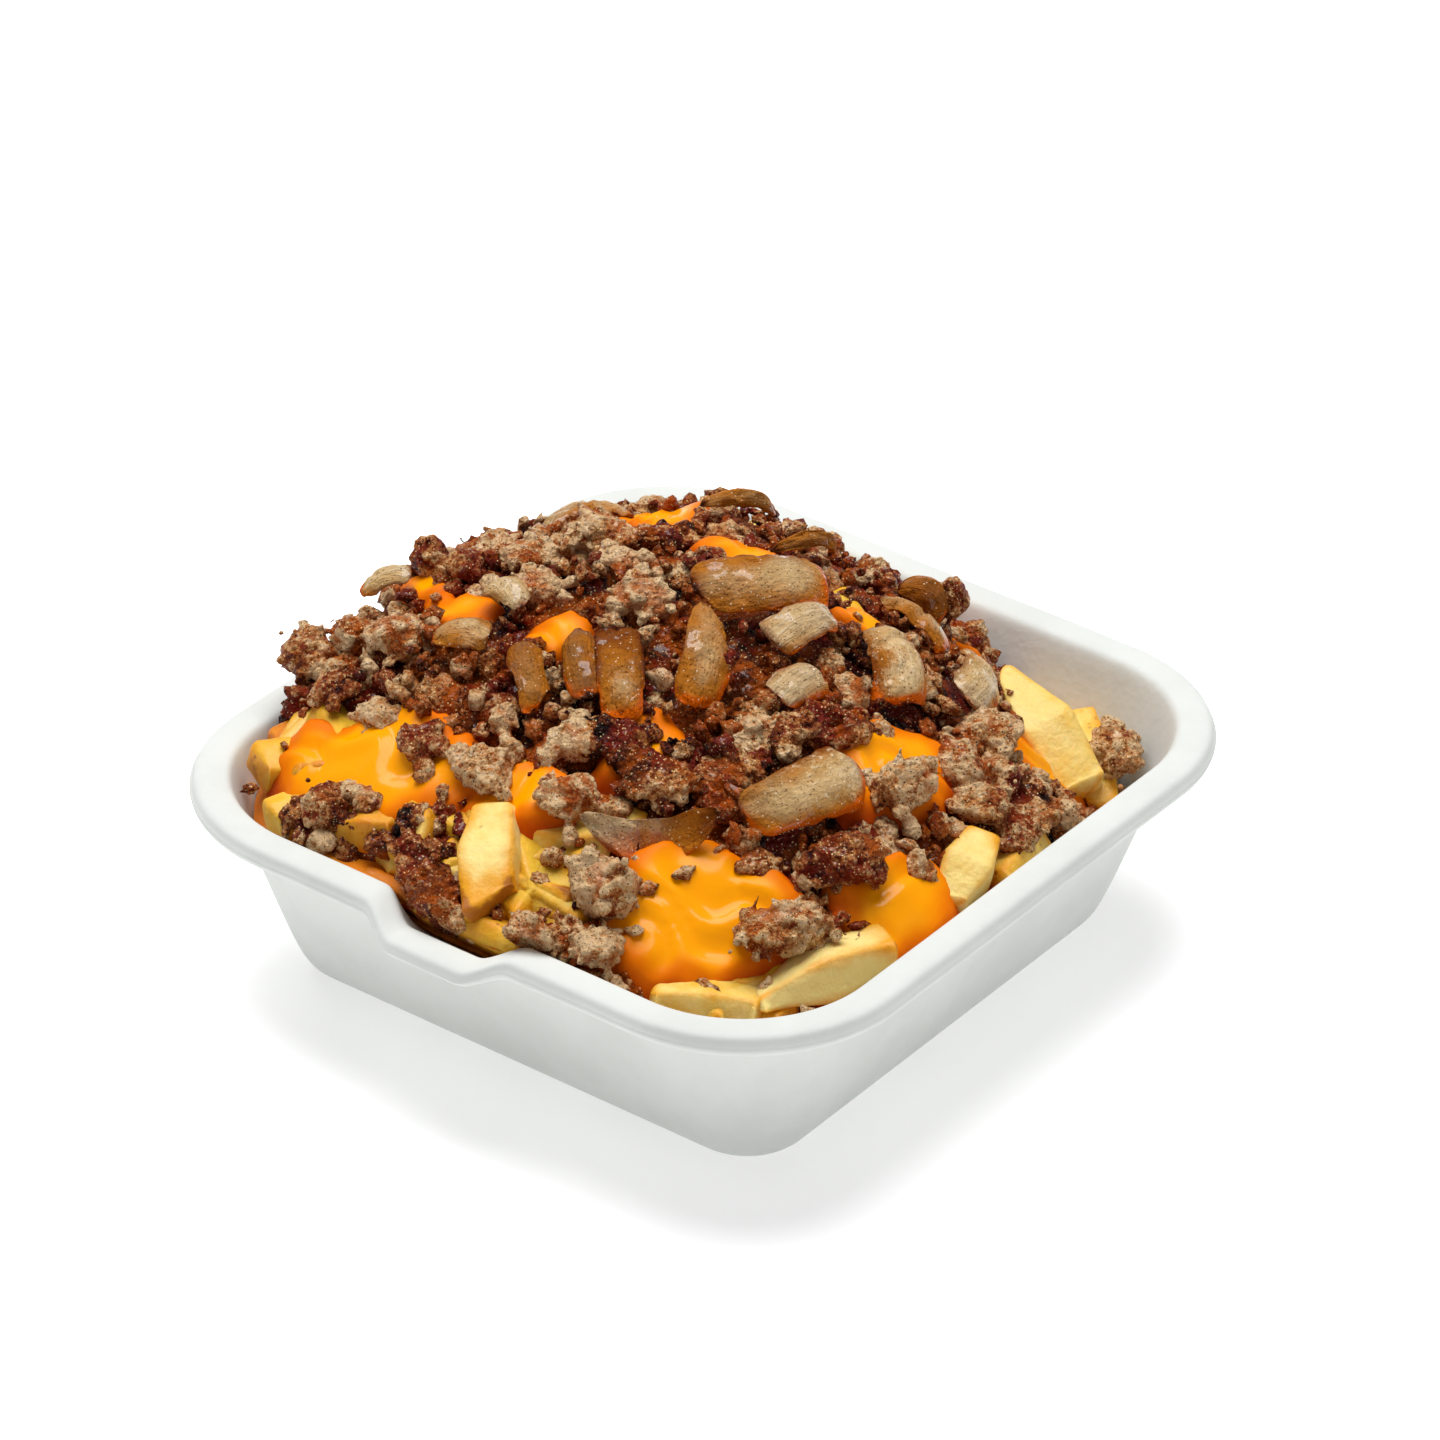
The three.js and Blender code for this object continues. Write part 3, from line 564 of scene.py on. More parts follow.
# sticks of rounded-square section: section radius (|cos|^p + |sin|^p)^(-1/p), half thickness along the axis
# half*size(t), closed at both ends where size falls as a quarter circle; the angle a + cornerPull*sin(4a)
# draws the columns to the corners; all sticks at once
def fries(starts, ends, thick, keep, rng):
    n, rows, columns = len(starts), fryLook["rows"], fryLook["columns"]
    along = ends - starts
    length = np.linalg.norm(along, axis=1, keepdims=True)
    along = along / length
    across = np.cross(np.array([0, 0, 1.0]), along)
    across /= np.linalg.norm(across, axis=1, keepdims=True)
    up = np.cross(along, across)
    end = fryLook["capLength"] / length
    caps = fryLook["capRows"]
    arc = np.linspace(0, 1, caps) * math.pi / 2
    body = np.linspace(0, 1, rows - 2 * caps)[None]
    curve = end * (1 - np.cos(arc))
    t = np.concatenate([curve, end + (1 - 2 * end) * body, 1 - curve[:, ::-1]], 1)
    shrink = np.concatenate([np.sin(arc), np.ones(rows - 2 * caps), np.sin(arc[::-1])])
    size = np.where(shrink < 1, 0.06 + 0.94 * shrink, 1.0)[None] * np.ones_like(t)
    even = 2 * math.pi * np.arange(columns) / columns + math.pi / 4
    angle = even + fryLook["cornerPull"] * np.sin(4 * even)
    p = fryLook["squareness"]
    section = (np.abs(np.cos(angle)) ** p + np.abs(np.sin(angle)) ** p) ** (-1 / p)
    roll = rng.uniform(-0.5, 0.5, (n, 1, 1)) + 0.2 * rng.normal(size=(n, 1, 1)) * (t[..., None] - 0.5)
    bend = rng.uniform(-0.035, 0.035, (n, 1)) * length * (1 - (2 * t - 1) ** 2)
    flat = rng.uniform(0.8, 1.0, (n, 1, 1))
    taper = keep[:, :1] + (1 - keep[:, :1]) * np.clip(t / 0.5, 0, 1)
    taper = np.minimum(taper, keep[:, 1:] + (1 - keep[:, 1:]) * np.clip((1 - t) / 0.5, 0, 1))
    radius = (thick[:, None, None] / 2) * size[..., None] * section[None, None]
    seedPlace = rng.uniform(0, 90, (n, 1, 1, 3))
    ringPlace = np.stack([np.broadcast_to(t[..., None] * length[..., None], radius.shape) / 6.5,
                          radius * np.cos(angle) / 4.5, radius * np.sin(angle) / 4.5], -1) + seedPlace
    radius = radius * (1 + 0.045 * layered(ringPlace, 5, 2) + 0.02 * layered(ringPlace * 4.5, 9, 2))
    u = radius * np.cos(angle + roll) * (1 - 0.8 * (1 - taper[..., None]))
    v = radius * np.sin(angle + roll) * flat * taper[..., None]
    cut = rng.uniform(-0.6, 0.6, (n, 2))
    cut[0] = fryLook["uprightCut"]
    slant = cut[:, :1] * np.clip(1 - 2 * t, 0, 1) ** 4 + cut[:, 1:] * np.clip(2 * t - 1, 0, 1) ** 4
    centre = starts[:, None] + along[:, None] * (t * length)[..., None] + across[:, None] * bend[..., None]
    points = centre[:, :, None] + across[:, None, None] * u[..., None] + up[:, None, None] * v[..., None]
    points = points + along[:, None, None] * (slant[..., None] * u)[..., None]
    corner = (section - 1) / (section.max() - 1)
    crisp = 0.52 * corner[None, None] ** 1.7 * shrink[None, :, None] ** 2
    crisp = crisp + 0.7 * (1 - shrink)[None, :, None] + 0.4 * np.abs(2 * t - 1)[..., None] ** 6
    browned = rng.uniform(-0.3, 0.55, (n, 1, 1)) * smooth(0.68, 0.98, t)[..., None]
    browned[0] = 0.6 * smooth(0.6, 0.9, t[0])[:, None]
    crisp = np.broadcast_to(crisp + browned, radius.shape) + rng.uniform(-0.12, 0.25, (n, 1, 1))
    return points, crisp


# the fries of the table, and buried ones: drawn at random in the bare zones, kept where they clear the wall
# and lie under the heap's surface
def makeFries():
    rng = np.random.default_rng(12)
    starts = np.array([f[0] for f in fryEnds], float)
    ends = np.array([f[1] for f in fryEnds], float)
    thick = np.array([f[2] for f in fryEnds], float)
    keep = np.array([f[3:5] for f in fryEnds], float)
    more = []
    while len(more) < fryLook["buried"]:
        zone = fryZones[rng.integers(len(fryZones))]
        x, y = zone[0] + rng.normal() * zone[2] * 0.6, zone[1] + rng.normal() * zone[3] * 0.6
        turn, dip = rng.uniform(0, math.pi), rng.normal() * 0.2
        long, wide = rng.uniform(*fryLook["buriedLength"]), rng.uniform(*fryLook["buriedWidth"])
        z = float(heapTop(x, y)) - rng.uniform(5.5, 11)
        step = 0.5 * long * np.array([math.cos(turn), math.sin(turn), math.sin(dip)])
        a, b = np.array([x, y, z]) - step, np.array([x, y, z]) + step
        path = a + (b - a) * np.linspace(0, 1, 4)[:, None]
        room = fromWall(path[:, 0], path[:, 1], path[:, 2] - 4) - wide * 0.55
        cover = heapTop(path[:, 0], path[:, 1]) - 2.6 * most(saucePools, path[:, 0], path[:, 1])
        cover = cover - path[:, 2] - wide / 2
        if room.min() > 0 and cover.min() > -0.4:
            more.append((a, b, wide))
    starts = np.concatenate([starts, [m[0] for m in more]])
    ends = np.concatenate([ends, [m[1] for m in more]])
    thick = np.concatenate([thick, [m[2] for m in more]])
    keep = np.concatenate([keep, rng.uniform(0.65, 1.0, (len(more), 2))])
    points, crisp = fries(starts, ends, thick, keep, rng)
    points = keptInside(points)
    rows, columns = points.shape[1:3]
    flat, faces = tubes(points)
    tint, glazeAndShade = rng.uniform(0, 1, (len(points), 1, 1)), np.zeros((len(points), 1, 1))
    for k, (coated, yellow) in fryTints.items():
        glazeAndShade[k], tint[k] = coated, yellow
    tint = np.broadcast_to(tint, crisp.shape)
    glazeAndShade = withEnds(np.array(np.broadcast_to(glazeAndShade, crisp.shape)), rows, columns)
    addPiece("fryPile", flat, faces, fryMaterial(), ["fries"],
             {"crisp": withEnds(crisp, rows, columns), "tint": withEnds(np.array(tint), rows, columns),
              "deep": depthOf(flat, 3.0, 10) + glazeAndShade})


makeFries()


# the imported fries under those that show: rings inside the tray's wall, from its floor up to heapTop - depth
def makeFriesBed():
    rings = 60
    level = np.concatenate([np.linspace(1.7, 6, 4), np.linspace(8, 34, 12)])[:, None]
    outs = np.concatenate([[-6.5, -3.4, -2, -1.4], np.full(12, -0.6)])[:, None]
    brim = np.full((1, 1), 34.0)
    for _ in range(4):
        edge = ringSurface(outs[-1:], brim, 12, 10)[0]
        brim = np.minimum(heapTop(edge[:, 0], edge[:, 1]) - fryDepth - 1, 34)[None]
    wall = ringSurface(outs, np.minimum(level, brim), 12, 10)
    shares = np.linspace(1, 0.01, rings)[:, None, None]
    top = wall[-1:] * shares
    top[1:, :, 2] = (heapTop(top[..., 0], top[..., 1]) - fryDepth + 1.6 * layered(top / 7.0, 4, 3))[1:]
    flat, faces = tubes(np.concatenate([wall, top[1:]])[None])
    rows, columns = len(wall) + rings - 1, wall.shape[1]
    even = withEnds(np.full((1, rows, columns), 0.45), rows, columns)
    addPiece("friesBed", flat, faces, bpy.data.materials["friedPotato"], ["fries"],
             {"crisp": even, "tint": even, "deep": depthOf(flat, 3.5, 10)})


makeFriesBed()
print("fries are made")


# cheese sauce
sauceLook = {
    "halfX": 62, "halfY": 66, "step": 0.95, "grown": 2.3, "lip": 3.0, "swell": 1.15, "warp": 2.4,
    # the last two colours on the next line darken each pool towards its edge: thinner sauce and painted shade
    # on the rolled sides
    "colour": (1.0, 0.36, 0.0), "deep": (0.80, 0.175, 0.0), "thinEdgeAndShade": (0.5, 0.05, 0.001),
}


def sauceMaterial():
    s = Shader("meltedCheese")
    thin = s.attribute("thin")
    swirl = s.noise(70.0, 3.0, 0.5, 0.5)
    # deeper orange, then dark red at each pool's very edge, where the sauce thins and rolls down: thin sauce
    # and painted shade
    rich = (thin * 1.1 + swirl * 0.5 - 0.25).between(0.1, 0.85)
    colour = s.mix(rich, sauceLook["colour"], sauceLook["deep"])
    colour = s.mix((thin + swirl * 0.3).between(0.9, 1.2), colour, sauceLook["thinEdgeAndShade"])
    height = swirl * 0.5 + s.noise(260.0, 2.0) * 0.15
    return s.finish({"Base Color": colour, "Roughness": thin * 0.4 + swirl * 0.14 + 0.1,
                     "Specular IOR Level": 0.07, "Subsurface Weight": 0.08, "Subsurface Scale": 0.5,
                     "Subsurface Radius": (0.004, 0.002, 0.0004),
                     "Coat Weight": (1 - thin * 2.2).clamped() * 0.2, "Coat Roughness": 0.06,
                     "Normal": s.bump(height, 0.3, 0.0012)})


# a grid drawn into the tray: a square grid pushed onto rounded squares, x = X*a*f, y = Y*b*f,
# f = max(|a|,|b|) / (|a|^n + |b|^n)^(1/n)
def roundedGrid(halfX, halfY, step, n=4.6):
    a, b = (np.linspace(-1, 1, int(2 * half / step)) for half in (halfX, halfY))
    a, b = np.meshgrid(a, b, indexing="ij")
    biggest = np.maximum(np.maximum(np.abs(a), np.abs(b)), 1e-6)
    f = biggest / np.maximum((np.abs(a) ** n + np.abs(b) ** n) ** (1 / n), 1e-6)
    return halfX * a * f, halfY * b * f


# the sauce: a slab whose top is base*(1 - show) + (heapTop - 1 + swell*rolling)*show; show rises as a
# quarter circle over the lip inside the pools, whose edges noise warps; rolling is noise plus its sine
def makeSauce():
    x, y = roundedGrid(sauceLook["halfX"], sauceLook["halfY"], sauceLook["step"])
    flat = np.stack([x, y, 0 * x], -1)
    warpX, warpY = (sauceLook["warp"] * layered(flat / 9.0 + k * 40, 31 + k, 3) for k in (0, 1))
    x2, y2 = x + warpX, y + warpY
    inside = np.min([(patchDistance(p, x2, y2) - 1) * min(p[2:4]) for p in saucePools], axis=0)
    depth = np.clip(sauceLook["grown"] - inside, 0, 9)
    show = np.sqrt(np.clip(1 - (1 - np.clip(depth / sauceLook["lip"], 0, 1)) ** 2, 0, 1))
    base = heapTop(x, y) - fryDepth + 2.6
    rolling = layered(flat / 11.0, 41, 2) + 0.5 * np.sin(layered(flat / 14.0, 45, 2) * 9)
    top = base * (1 - show) + (heapTop(x, y) - 1.0 + sauceLook["swell"] * rolling) * show
    points, faces = slab(x, y, top, np.minimum(top - 1.0, base - 1.5))
    points = keptInside(points)
    thin = np.concatenate([1 - smooth(0, 7, depth), np.ones_like(show)])
    addPiece("cheeseSauce", points, faces, sauceMaterial(), ["cheese_sauce"],
             {"thin": thin})


makeSauce()
print("cheese sauce is made")


# beef
# centre, half sizes, turn and tone of each big lump
lumps = [
    ((46, -40.5, 41), (9.4, 5.6, 5.2), 50, 0.7), ((13.5, -68.8, 41.4), (4.8, 4.4, 4.4), 0, 0.6),
    ((19, -54.5, 45.5), (7.2, 6.4, 7), 0, 0.8), ((46.3, -22.5, 46.5), (8.2, 6, 5.6), 55, 0.1),
    ((44.5, -3, 51), (7, 5.4, 5.8), 60, 0.8), ((-26.7, -47.4, 53.6), (5.4, 4.2, 3.8), 30, 0.3),
    ((-36, -61.5, 42.8), (5.2, 5, 5), 0, 0.15), ((50, 55, 31.5), (7.4, 5.2, 4.8), -40, 0.5),
    ((15.5, 52, 51), (3.2, 3, 5.2), 0, 0.4), ((-56.5, -7, 60), (4.4, 4, 5.4), 0, 0.1),
    ((-62.5, -34.5, 51), (5.6, 5.4, 5), 0, 0.5), ((24, -63, 40), (5.6, 4.4, 4.2), 30, 0.7),
]
onions = [
    (-2.7, -22.3, 20, 8.4, 1.9, -52, 0, 0, 1.2, 0.4), (6, -11, 23, 10.5, 2.2, -53, 4, -12, 2.6, 0.4),
    (2.8, 10.8, 26, 12.6, 1.9, 60, 0, 20, 1.8, 1.6), (13, 8.5, 15, 8.6, 2.6, 82, 0, 10, 1.4, 1.2),
    (26.5, 16.5, 16.5, 11.5, 2.4, -24, 6, 0, 2.2, 1.2), (33.5, 31, 15, 12, 1.8, 118, -6, 18, 1.6, 1.8),
    (20.8, -3, 10.5, 8, 1.9, 80, 0, 0, 1, 0.6), (19.5, -42.5, 23, 9.6, 2.2, 38, 0, 26, -4, 1.6),
    (34.5, -19.5, 24, 12.5, 2, 74, 0, 10, 3, 1), (-33, -27, 11, 8, 1.8, 20, 0, 0, 1.2, 0.4),
    (-16, -30.5, 15, 7.5, 2, -50, 6, 0, 1.2, 0.4), (-9.5, -24, 15, 7, 2, -48, 0, 0, 1.2, 0),
    (-3, 32.5, 16, 4.6, 1.9, 78, 0, 50, 4, 1.6), (12, 45.5, 10, 8, 2.2, 35, 0, 42, 3, 1.8),
    (-21, 37, 15, 4.6, 1.9, 60, 0, 45, 3.2, 0.8), (-31.6, -16.2, 10, 7.5, 1.8, -15, 0, 0, 1.6, 0.6),
    (-58.5, -15.5, 10, 7, 1.8, 30, 0, 12, 1.2, 1.6), (-47, 26, 17, 9, 2, 60, 0, 0, 1.6, -1.2),
    (-30, 49, 16, 8, 1.9, -10, 0, 0, 1.4, 0.4), (18, 36, 15, 8, 1.9, 20, 0, 0, 1.4, 0.4),
]
# clumps that stand out of the crumbs: centre, half sizes, turn and tone
crags = [
    ((-48, -8, 62), (4.8, 4.2, 4), 0, 0.2), ((-41, -1, 63), (5.4, 4.6, 4), 30, 0.7),
    ((-30, -10, 65), (5.6, 4.8, 4), 60, 0.85), ((-34.5, 13, 63.5), (7, 5.6, 5.2), 20, 0.75),
    ((-24, 5, 66), (4.6, 4, 3.6), 80, 0.8), ((-12, -4.4, 67.5), (6.4, 5.4, 4.2), 10, 0.9),
    ((-24, 20, 63.5), (4, 3.6, 3.2), 0, 0.03), ((-11.5, 9.4, 65.5), (6, 5, 3.6), 45, 0.55),
    ((-17, 26, 62.5), (4.4, 4, 3.4), 0, 0.25), ((14, 61, 38), (3.6, 3.2, 5), 0, 0.3),
    ((-57, 8, 45.5), (5, 4.4, 4), 0, 0.6), ((-55, 24, 42.5), (5.6, 4.6, 4), 60, 0.3),
    ((-57.5, 36, 37), (4.6, 4, 3.6), 0, 0.65), ((-38, 53, 43.5), (6, 5, 4.4), 20, 0.5),
    ((-22, 59, 41), (5, 4.2, 4), 0, 0.25), ((-3, 62, 37), (4.4, 3.6, 3.4), 0, 0.7),
    ((3, 46, 53), (5.2, 4.4, 4.6), 0, 0.6), ((9.3, 49, 48.5), (3.4, 3, 6), 0, 0.02),
    ((41.6, 25.4, 46), (6.4, 5.6, 5.2), 20, 0.75), ((48.5, 19, 42.5), (6, 5.2, 5), 70, 0.7),
    ((52.5, 24, 38.5), (5, 4.4, 4.2), 0, 0.5), ((44, 13.2, 47), (5.8, 5, 4.4), 40, 0.65),
    ((14.7, -33.6, 55.5), (7.4, 6, 4.6), 30, 0.04), ((-1.4, -35.5, 58), (5.6, 4.6, 4.4), 0, 0.65),
    ((-13, -47.5, 53), (6.6, 4.8, 4.4), 10, 0.7), ((3.6, -45.7, 53.5), (5.8, 5, 4.6), 50, 0.75),
    ((-16, -61.5, 42), (4.4, 4, 3.8), 0, 0.08), ((-6.5, -68, 40.4), (5.2, 4.6, 4.8), 0, -0.1),
    ((-57, -28.5, 54), (5, 4.6, 4.4), 0, 0.3), ((-46.5, -29.5, 58.5), (5.6, 5, 4.4), 30, 0.65),
    ((-51.6, -40.5, 51.5), (4, 3.6, 3.2), 0, 0.2), ((10.5, -9, 66.5), (3.4, 1.8, 2.2), -60, -0.4),
    ((1.5, -32, 61), (2.2, 1.6, 1.6), 0, -0.5), ((20, -23.5, 59.5), (3, 2.2, 2), 30, -0.4),
    ((-25, 18, 65), (4.4, 2.4, 2), 40, -0.3), ((51.5, 10.5, 43), (6, 5, 4.2), 20, 0.6),
    ((56, 20, 38), (5, 4.4, 4), 0, 0.55), ((57, 27.5, 34.5), (4.4, 3.6, 3.6), 0, 0.6),
    ((57.5, 12, 37.5), (4.6, 4, 3.8), 0, 0.45), ((-10.5, -66, 41.2), (5, 4.4, 4.4), 20, -0.1),
    ((-2.5, -69, 38.4), (4.4, 3.6, 3.6), 0, 0.4), ((-10, -64.8, 36.6), (4.6, 4.2, 4.2), 0, 0.0),
    ((-4.6, -67, 36.2), (4.2, 3.6, 3.8), 0, 0.15), ((-40, -63.5, 41), (3.6, 3, 3.2), 0, 0.1),
    ((-34.5, -65.4, 39), (3.2, 2.8, 3), 0, 0.75), ((-23, -62, 41), (3.8, 3.2, 3), 20, 0.06),
    ((-32, -58.5, 46), (3.6, 2.6, 2.6), 20, 0.7), ((-19, -57.5, 46), (4, 3.4, 3), 0, 0.15),
    ((31.4, -1.4, 56), (4.6, 4, 3.6), 0, 0.25), ((25.4, -11.5, 58), (4.2, 3.8, 3.4), 0, 0.3),
    ((6, -30, 58), (5, 4, 3.6), 70, 0.1),
]
beefLook = {
    "voxel": 0.51, "spacing": 5.9, "least": 2.3, "most": 5.9, "bead": (0.55, 1.8), "density": 3.6,
    "grain": 0.42, "melt": 4, "scatter": 2.0, "bed": 3.9, "bedHalves": (60.5, 64.5), "bedStep": 1.5,
    "bedSunk": 10,
    "browning": [(0.0, (0.010, 0.002, 0.002)), (0.2, (0.070, 0.009, 0.004)), (0.4, (0.27, 0.060, 0.012)),
                 (0.6, (0.50, 0.185, 0.048)), (0.8, (0.65, 0.350, 0.145)), (1.0, (0.78, 0.52, 0.28))],
    # the sparkle colour on the next line is painted glints, not a colour of the beef
    "grease": (0.46, 0.088, 0.004), "red": (0.20, 0.013, 0.004), "sparkle": (1.0, 0.74, 0.36),
    "soot": (0.03, 0.005, 0.003),
    "toneScatter": 0.2, "toneSteps": (0.38, 0.62), "satellites": 5, "satelliteSize": (1.0, 2.3),
    "flankSpacing": 5.2, "flankSize": (2.2, 3.5), "flankTop": 44.5, "flankFront": -43, "flankRise": 3.9,
    "bits": 760, "bitSize": (0.7, 2.1), "bitDraws": 5200,
}
# light and dark parts of the beef, as the heap shows them: centre x, y, reach, tone
toneSpots = [
    (-35, 14, 14, 0.9), (-32, -7, 12, 0.85), (-12, -4, 11, 0.85), (-12, 14, 10, 0.7),
    (-50, -24, 12, 0.65), (-50, -6, 8, 0.15), (-8, -40, 10, 0.6), (6, -44, 9, 0.7), (-2, -34, 8, 0.75),
    (20, -36, 7, 0.1), (14, -26, 9, 0.12), (-24, -24, 9, 0.2), (34, 2, 9, 0.3), (42, 24, 14, 0.75),
    (24, 30, 10, 0.6), (12, -2, 7, 0.15), (27, -8, 8, 0.3), (-44, -40, 8, 0.5), (-10, -62, 12, 0.25),
    (30, -38, 8, 0.5), (-20, 30, 12, 0.35), (6, 40, 12, 0.3), (-45, 30, 14, 0.6),
]


def beefMaterial():
    s = Shader("brownedBeef")
    tone, crest = s.attribute("tone"), s.attribute("crest")
    mottle, grain, fine = s.noise(135.0, 5.0, 0.68), s.noise(560.0, 4.0, 0.7), s.noise(1500.0, 3.0, 0.65)
    granule, deep = s.cellNumber(330.0, "Green"), s.attribute("deep")
    # crest lightens the crumbs' tops as painted light; deep darkens the creases and what lies below the
    # heap's surface as painted shade
    lightness = tone * 0.8 + crest * 0.4 + mottle * 1.3 + grain * 1.3 + fine * 1.2 + granule * 0.2
    lightness = lightness - deep * 0.6 - 1.94
    colour = s.make("ShaderNodeValToRGB", {"stops": beefLook["browning"]}, {0: lightness}, "Color")
    redness = s.noise(120.0, 4.0).between(0.44, 0.58) * (1.2 - lightness + deep * 0.3).between(0.3, 0.75)
    colour = s.mix(redness * 0.8, colour, beefLook["red"])
    oily = s.noise(88.0, 4.0).between(0.46, 0.6) * (1.1 - crest + deep * 0.4).between(0.2, 0.7)
    colour = s.mix(oily * 0.75, colour, beefLook["grease"])
    colour = s.mix(s.dots(1500.0, 0.33, 0.5) * 0.85, colour, beefLook["soot"])
    # painted glints: bright dots mixed into the base colour where the mottle is light
    glint = s.dots(1700.0, 0.33, 0.5) * mottle.between(0.4, 0.55, 0.4, 1.0)
    colour = s.mix(glint * 0.9, colour, beefLook["sparkle"])
    bumps = s.bump(s.cells(950.0) * -0.8 + grain * 1.2 + fine * 0.8, 1.0, 0.0011)
    return s.finish({"Base Color": colour, "Roughness": grain.between(0.35, 0.65, 0.14, 0.6),
                     "Specular IOR Level": 0.12, "Coat Weight": grain.between(0.52, 0.6) * 0.45,
                     "Coat Roughness": 0.06, "Normal": bumps})


# directions of an icosahedron's corners and of the middles of its edges, split again and again
def sphereGrid(levels):
    g = (1 + math.sqrt(5)) / 2
    points = np.array([(-1, g, 0), (1, g, 0), (-1, -g, 0), (1, -g, 0), (0, -1, g), (0, 1, g), (0, -1, -g),
                       (0, 1, -g), (g, 0, -1), (g, 0, 1), (-g, 0, -1), (-g, 0, 1)], float)
    faces = np.array([(0, 11, 5), (0, 5, 1), (0, 1, 7), (0, 7, 10), (0, 10, 11), (1, 5, 9), (5, 11, 4),
                      (11, 10, 2), (10, 7, 6), (7, 1, 8), (3, 9, 4), (3, 4, 2), (3, 2, 6), (3, 6, 8),
                      (3, 8, 9), (4, 9, 5), (2, 4, 11), (6, 2, 10), (8, 6, 7), (9, 8, 1)])
    for _ in range(levels):
        edges = np.sort(np.concatenate([faces[:, [0, 1]], faces[:, [1, 2]], faces[:, [2, 0]]]), 1)
        unique, inverse = np.unique(edges, axis=0, return_inverse=True)
        inverse = inverse.reshape(3, -1)
        middle = points[unique].mean(1)
        a, b, c = faces.T
        ab, bc, ca = (inverse + len(points))
        points = np.concatenate([points, middle])
        quarters = (a, ab, ca), (b, bc, ab), (c, ca, bc), (ab, bc, ca)
        faces = np.concatenate([np.stack(f, -1) for f in quarters])
    return points / np.linalg.norm(points, axis=1, keepdims=True), faces


# each lump's points turned by its own rotation matrix
def rotated(points, matrices):
    return np.einsum("nij,nkj->nki", matrices, points)


def randomTurns(n, rng):
    q = rng.normal(size=(n, 4))
    q /= np.linalg.norm(q, axis=1, keepdims=True)
    w, x, y, z = q.T
    rows = [1 - 2 * (y * y + z * z), 2 * (x * y - z * w), 2 * (x * z + y * w),
            2 * (x * y + z * w), 1 - 2 * (x * x + z * z), 2 * (y * z - x * w),
            2 * (x * z - y * w), 2 * (y * z + x * w), 1 - 2 * (x * x + y * y)]
    return np.stack(rows, -1).reshape(n, 3, 3)


def zTurns(degrees):
    a = np.radians(np.asarray(degrees, float))
    zero, one = np.zeros_like(a), np.ones_like(a)
    rows = [np.cos(a), -np.sin(a), zero, np.sin(a), np.cos(a), zero, zero, zero, one]
    return np.stack(rows, -1).reshape(-1, 3, 3)


# the beads of every crumb: centres near the skin of a lobed ellipsoid, none on its underside, random sizes
def beadsOf(centres, halves, turns, rng):
    area = (halves.prod(1)) ** (2 / 3)
    counts = np.maximum(6, (beefLook["density"] * area).astype(int))
    owner = np.repeat(np.arange(len(centres)), counts)
    u = rng.normal(size=(len(owner), 3))
    u /= np.linalg.norm(u, axis=1, keepdims=True)
    lobes = 1 + 0.55 * noise(u * 2.2 + centres[owner] * 3.1, 8)
    least, biggest = beefLook["bead"]
    size = least + (biggest - least) * rng.uniform(0, 1, len(owner)) ** 2
    size = size * np.minimum(1.0, 0.6 + halves.mean(1)[owner] / 6)
    spread = np.maximum(halves[owner] - size[:, None] * 1.05, 0.3 * halves[owner])
    out = (rng.uniform(0.82, 1.06, len(owner)) * lobes)[:, None]
    offset = np.einsum("nij,nj->ni", turns[owner], u * spread * out)
    upper = offset[:, 2] > -0.45 * halves.mean(1)[owner]
    return (offset + centres[owner])[upper], size[upper], owner[upper]


# spheres joined into one skin by a voxel remesh, then read back as arrays
def fused(places, size, stretch, turns, directions, faces):
    points = rotated(directions[None] * (size[:, None] * stretch)[:, None], turns) + places[:, None]
    k = len(directions)
    allFaces = (faces[None] + (np.arange(len(places)) * k)[:, None, None]).reshape(-1, 3)
    mesh = bpy.data.meshes.new("beads")
    mesh.from_pydata((points.reshape(-1, 3)).tolist(), [], allFaces.tolist())
    thing = bpy.data.objects.new("beads", mesh)
    bpy.context.scene.collection.objects.link(thing)
    remesh = thing.modifiers.new("skin", "REMESH")
    remesh.mode, remesh.voxel_size, remesh.adaptivity = "VOXEL", beefLook["voxel"], 0.0
    bpy.context.view_layer.update()
    made = thing.evaluated_get(bpy.context.evaluated_depsgraph_get()).to_mesh()
    vertices = np.empty(len(made.vertices) * 3, np.float32)
    made.vertices.foreach_get("co", vertices)
    made.calc_loop_triangles()
    triangles = np.empty(len(made.loop_triangles) * 3, np.int32)
    made.loop_triangles.foreach_get("vertices", triangles)
    bpy.data.objects.remove(thing)
    bpy.data.meshes.remove(mesh)
    return vertices.reshape(-1, 3).astype(float), triangles.reshape(-1, 3)


# mean normal of the faces round every vertex, weighted by their areas
def vertexNormals(points, faces):
    a, b, c = (points[faces[:, k]] for k in range(3))
    face = np.cross(b - a, c - a)
    n = len(points)
    sums = [sum(np.bincount(faces[:, k], face[:, axis], n) for k in range(3)) for axis in range(3)]
    normal = np.stack(sums, -1)
    return normal / np.maximum(np.linalg.norm(normal, axis=1, keepdims=True), 1e-9)


# mean of every vertex's neighbours
def neighbourMean(values, faces, n):
    total, count = np.zeros_like(values), np.zeros(n)
    for a, b in ((0, 1), (1, 2), (2, 0), (1, 0), (2, 1), (0, 2)):
        count += np.bincount(faces[:, a], minlength=n)
        for axis in range(values.shape[1]):
            total[:, axis] += np.bincount(faces[:, a], values[faces[:, b], axis], n)
    return total / count[:, None]


